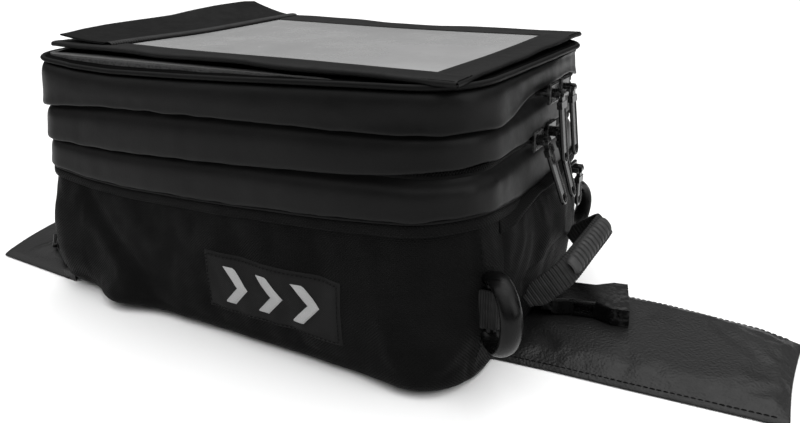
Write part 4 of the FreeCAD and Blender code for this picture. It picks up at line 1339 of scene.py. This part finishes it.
# ---- end pocket ----
POCKET_LOW, POCKET_HIGH = cad("end_pocket_panel")
HOOD_LOW, HOOD_HIGH = cad("pocket_hood")
POCKET_ZIP = cad("pocket_zip")


def pocket_depth(y, z):
    """Belly of the pocket: full in the middle, flat at the sewn edges."""
    across = 1 - min(1.0, abs(y) / (POCKET_HIGH[1] + 4)) ** 2.2
    up = (z - POCKET_LOW[2]) / (POCKET_HIGH[2] - POCKET_LOW[2])
    body = math.sin(math.pi * min(1.0, max(0.0, up * 0.93)) ** 0.8) ** 0.9
    fold = crease(y, z, ((-62, 50), (-30, 92)), 5, 2.8)
    fold += crease(y, z, ((34, 40), (44, 84)), 7, 1.2)
    deep = 5.0 + 6.0 * (1 - float(ease(z, 38, 54)))
    return deep * max(0, across) * body + fold * across + 1.4 * across * rough(y, 0, z, 21.0, 6.0)


POCKET_ROWS, POCKET_COLUMNS = 28, 60


def pocket_place(r, c):
    y = -(POCKET_HIGH[1] + 4) + 2 * (POCKET_HIGH[1] + 4) * c / POCKET_COLUMNS
    z = POCKET_HIGH[2] + 1.0 + (POCKET_LOW[2] - 4 - POCKET_HIGH[2]) * r / POCKET_ROWS
    edge = min(r, POCKET_ROWS - r, c, POCKET_COLUMNS - c)
    return u_of_end(y), z, pocket_depth(y, z) - 0.8 + 1.5 * min(1.0, edge / 3)


pocket = grid_mesh("pocket_belly", wall_grid(POCKET_ROWS, POCKET_COLUMNS, pocket_place), NYLON)
thicken(pocket, 0.8)
dress(pocket, "bag_body", "nylon", "end_pocket_panel")

tape_ys = np.linspace(-44, 66, 41)
tape_zs = np.linspace(POCKET_ZIP[1][2] + 1.5, POCKET_ZIP[0][2] - 1.0, 9)
tape_grid = wall_grid(8, 40, lambda r, c: (u_of_end(tape_ys[c]), tape_zs[r], 1.1))
pocket_tape = grid_mesh("pocket_zip_tape", tape_grid, TAPE)
thicken(pocket_tape, 0.8)
dress(pocket_tape, "bag_body", "zip_tape", "pocket_zip")
middle_zip = (POCKET_ZIP[0][2] + POCKET_ZIP[1][2]) / 2
teeth_us = [u_of_end(y) for y in np.linspace(-34, 64, 50)]
stitches("pocket_zip_teeth", wall_path(teeth_us, [middle_zip] * 50, 1.5), 1.0, 0.5, 0.95,
         "bag_body", PAINTED)
HOOD_ROWS, HOOD_COLUMNS = 12, 60


def hood_place(r, c):
    """Storm flap: it bows out in the middle and is drawn down at its near end."""
    t = r / HOOD_ROWS
    y = HOOD_LOW[1] + (HOOD_HIGH[1] - HOOD_LOW[1]) * c / HOOD_COLUMNS
    bow = 1 - min(1.0, abs(y) / HOOD_HIGH[1]) ** 2
    out = 0.2 + (0.5 + 11.0 * bow) * math.sin(min(1.0, t * 1.15) * math.pi / 2)
    z = HOOD_HIGH[2] + 0.6 - 2.6 * t ** 1.6 - 1.2 * t * (1 - bow)
    z -= 11.0 * t ** 0.5 * float(ease(-y, 18, HOOD_HIGH[1]))
    return u_of_end(y), z, out


hood = grid_mesh("pocket_storm_flap", wall_grid(HOOD_ROWS, HOOD_COLUMNS, hood_place), NYLON)
thicken(hood, 0.9)
dress(hood, "bag_body", "nylon", "pocket_hood")


# ---- carry handle ----
def handle_frame():
    """Axes of the handle: along its roots, outward and across the webbing."""
    swing = next(j for j in frame["joints"] if j["name"] == "handle_swing")
    along = -np.array(swing["axis"], float)
    root = np.array(swing["pos_m"], float) / MM
    lean = math.radians(40)
    outward = np.array([math.cos(lean), 0, math.sin(lean)])
    outward -= along * outward.dot(along)
    outward /= np.linalg.norm(outward)
    return root, along, outward, np.cross(along, outward)


ROOT, ALONG, OUTWARD, ACROSS = handle_frame()
HANDLE_LINE = [(0, 1.0), (4, 9), (12, 22), (22, 28), (52, 32), (82, 36), (92, 33), (97, 14),
               (98, 1.0)]
GRIP_FROM, GRIP_TO = 22.0, 88.0
HANDLE_POINTS = 300


def handle_point(s, r):
    return ROOT + ALONG * s + OUTWARD * r


handle_path = spline([handle_point(s, r) for s, r in HANDLE_LINE], HANDLE_POINTS)
handle_frames = [(t, ACROSS, np.cross(ACROSS, t)) for t, _, _ in frames_along(handle_path)]


def webbing_section(k):
    """Ribbed strip: it narrows and folds at its sewn ends."""
    share = k / (HANDLE_POINTS - 1)
    end = float(ease(min(share, 1 - share), 0.0, 0.07))
    half = 4.4 + 4.0 * end
    rib = 0.75 * abs(math.sin(k * math.pi / 6.2)) ** 0.6
    thick = 1.2 + rib
    return oval(half + 0.3 * rib, thick, 20, 0.55)


handle = sweep("handle_strap", handle_path, webbing_section, WEBBING, frames=handle_frames)
dress(handle, "carry_handle", "webbing", "handle_webbing")

grip_ids = [k for k, p in enumerate(handle_path) if GRIP_FROM < (p - ROOT).dot(ALONG) < GRIP_TO]
grip_path = handle_path[grip_ids[0]:grip_ids[-1]]
grip_count = len(grip_path)


def grip_section(k):
    """Rubber grip, rounded at its ends, with slits across its outer side."""
    share = k / (grip_count - 1)
    end = min(1.0, min(share, 1 - share) / 0.08)
    swell = math.sqrt(max(0.0, 1 - (1 - end) ** 2)) * 0.3 + 0.7
    middle = 1 + 0.08 * math.sin(math.pi * share)
    slit = 11 * (share - 0.5) / 0.84
    depth = bump(slit - round(slit), 0, 0.13) if abs(slit) < 5.4 else 0.0
    points = []
    for a, b in oval(6.5, 5.4, 48, 0.8):
        cut = 1.7 * depth * float(ease(b, 0.3, 3.0)) * (1 - float(ease(abs(a), 5.2, 6.4)))
        grow = swell * middle
        points.append((a * grow, (b - cut) * grow))
    return points


grip = sweep("handle_rubber", grip_path, grip_section, RUBBER,
             frames=handle_frames[grip_ids[0]:grip_ids[-1]])
dress(grip, "carry_handle", "grip_rubber", "handle_grip")


# ---- webbing tabs, anchors, straps ----
RING_CENTRE_Y = 71.0
TAB_FOLD = [(-10.5, 17), (-4.8, 9), (-0.5, 6.2), (4.6, 4.0), (6.3, 0), (4.6, -4.0),
            (-0.5, -6.2), (-4.8, -9), (-10.5, -17)]    # out from the bar, and across


def tab_piece(name, side, turn, z):
    """Webbing folded round the bar of a strap ring and sewn to the corner."""
    centre = np.array([FLAT_X, side * RING_CENTRE_Y, z])
    turn = math.radians(turn)
    outward = np.array([math.cos(turn), math.sin(turn), 0.0])
    bar = centre + outward * (CORNER + 6.4)
    across = np.array([-outward[1], outward[0], 0.0])
    path = spline([bar + outward * a + across * b for a, b in TAB_FOLD], 90)
    up = np.array([0, 0, 1.0])
    frames = [(t, up, np.cross(up, t)) for t, _, _ in frames_along(path)]

    def section(k):
        return oval(12.4, 0.95 + 0.3 * abs(math.sin(k * math.pi / 3.0)), 16, 0.5)
    return sweep(name, path, section, WEBBING, frames=frames)


for side, name, turn, bar_z in ((-1, "near", -14.0, 53.0), (1, "far", 45.0, 47.0)):
    tab = tab_piece("ring_webbing_" + name, side, turn, bar_z)
    dress(tab, "bag_body", "webbing", "ring_tabs")
for name in ("near", "far"):
    recolour("strap_ring_" + name, GLOSS)
    NODES["strap_ring_" + name].data.shade_smooth()

for node in ("handle_anchors", "strap_anchor"):
    recolour(node, WEBBING)
    round_edges(NODES[node], 0.9)


# ---- CAD parts that stay ----
ZIPS = ("lid_near", "lid_far", "expansion_near", "expansion_far", "pocket")
KEPT = {
    "base_board": BOARD, "base_foam": FOAM, "wall_foam": FOAM, "lid_board": BOARD,
    "lid_foam": FOAM, "lid_hook_tape": HOOKS, "magnets_right": MAGNET, "magnets_left": MAGNET,
    "buckle_socket": ACETAL, "buckle_strap": WEBBING,
    "front_loop_strap_near": WEBBING, "front_loop_strap_far": WEBBING,
    "front_loop_ring_near": GLOSS, "front_loop_ring_far": GLOSS,
    "flap_root_left": FLAP_VINYL,
}
for zip_name in ZIPS:
    KEPT["slider_" + zip_name] = PAINTED
    KEPT["pull_" + zip_name] = PAINTED
for node, material in KEPT.items():
    recolour(node, material)
for node in ("buckle_socket", "buckle_strap"):
    round_edges(NODES[node], 0.7)
for zip_name in ZIPS:
    round_edges(NODES["slider_" + zip_name], 0.45)
    round_edges(NODES["pull_" + zip_name], 0.3, 2)


# ---- soft pieces that cross a joint ----
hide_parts("flap_right")
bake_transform(right_flap)
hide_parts("flap_left")
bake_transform(left_flap)
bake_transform(gusset)


# ---- floor, light, camera ----
floor_size = 6000.0
floor = add_mesh("floor", [(-floor_size, -floor_size, 0), (floor_size, -floor_size, 0),
                           (floor_size, floor_size, 0), (-floor_size, floor_size, 0)],
                 [[0, 1, 2, 3]], PAPER)


def soft_light(name, place, target, size, power):
    """Square softbox that faces a point; places in millimetres."""
    data = bpy.data.lights.new(name, "AREA")
    data.shape = "RECTANGLE"
    data.size, data.size_y = size[0] * MM, size[1] * MM
    data.energy = power
    light = bpy.data.objects.new(name, data)
    bpy.context.scene.collection.objects.link(light)
    light.location = Vector(place) * MM
    light.rotation_euler = (Vector(target) - Vector(place)).to_track_quat("-Z", "Y").to_euler()


soft_light("top_box", (100, 500, 2200), (0, 0, 0), (2600, 2200), 14)
soft_light("right_box", (1300, -100, 700), (100, 0, 80), (700, 900), 5)
soft_light("left_box", (-1200, -900, 800), (-100, 0, 80), (800, 800), 1.2)

world = bpy.data.worlds.new("studio")
bpy.context.scene.world = world
world.use_nodes = True
sky = world.node_tree.nodes
backdrop = sky["Background"]
split = sky.new("ShaderNodeSeparateXYZ")
dome = sky.new("ShaderNodeValToRGB")
for element, (height, grey) in zip(dome.color_ramp.elements, ((0.28, 0.012), (1.0, 1.0))):
    element.position = height
    element.color = (grey, grey, grey, 1)
dome.color_ramp.interpolation = "EASE"
link = world.node_tree.links.new
link(sky.new("ShaderNodeTexCoord").outputs["Generated"], split.inputs[0])
link(split.outputs["Z"], dome.inputs[0])
link(dome.outputs[0], backdrop.inputs["Color"])
backdrop.inputs["Strength"].default_value = 2.3

SENSOR, FOCAL_PIXELS, IMAGE_WIDTH = 36.0, 684.5, 800
YAW, PITCH_DOWN, ROLL = math.radians(30.98), math.radians(13.90), math.radians(-0.62)
camera_data = bpy.data.cameras.new("camera")
camera = bpy.data.objects.new("camera", camera_data)
bpy.context.scene.collection.objects.link(camera)
forward = Vector((-math.sin(YAW) * math.cos(PITCH_DOWN), math.cos(YAW) * math.cos(PITCH_DOWN),
                  -math.sin(PITCH_DOWN)))
turn = forward.to_track_quat("-Z", "Y").to_matrix() @ Matrix.Rotation(ROLL, 3, "Z")
camera.rotation_euler = turn.to_euler()
camera.location = Vector((313.1, -422.1, 252.7)) * MM
camera_data.sensor_width = SENSOR
camera_data.lens = FOCAL_PIXELS * SENSOR / IMAGE_WIDTH
camera_data.shift_x = 0.0135
camera_data.shift_y = -0.111
camera_data.clip_start = 0.01
bpy.context.scene.camera = camera
bpy.context.scene.view_settings.view_transform = "Standard"
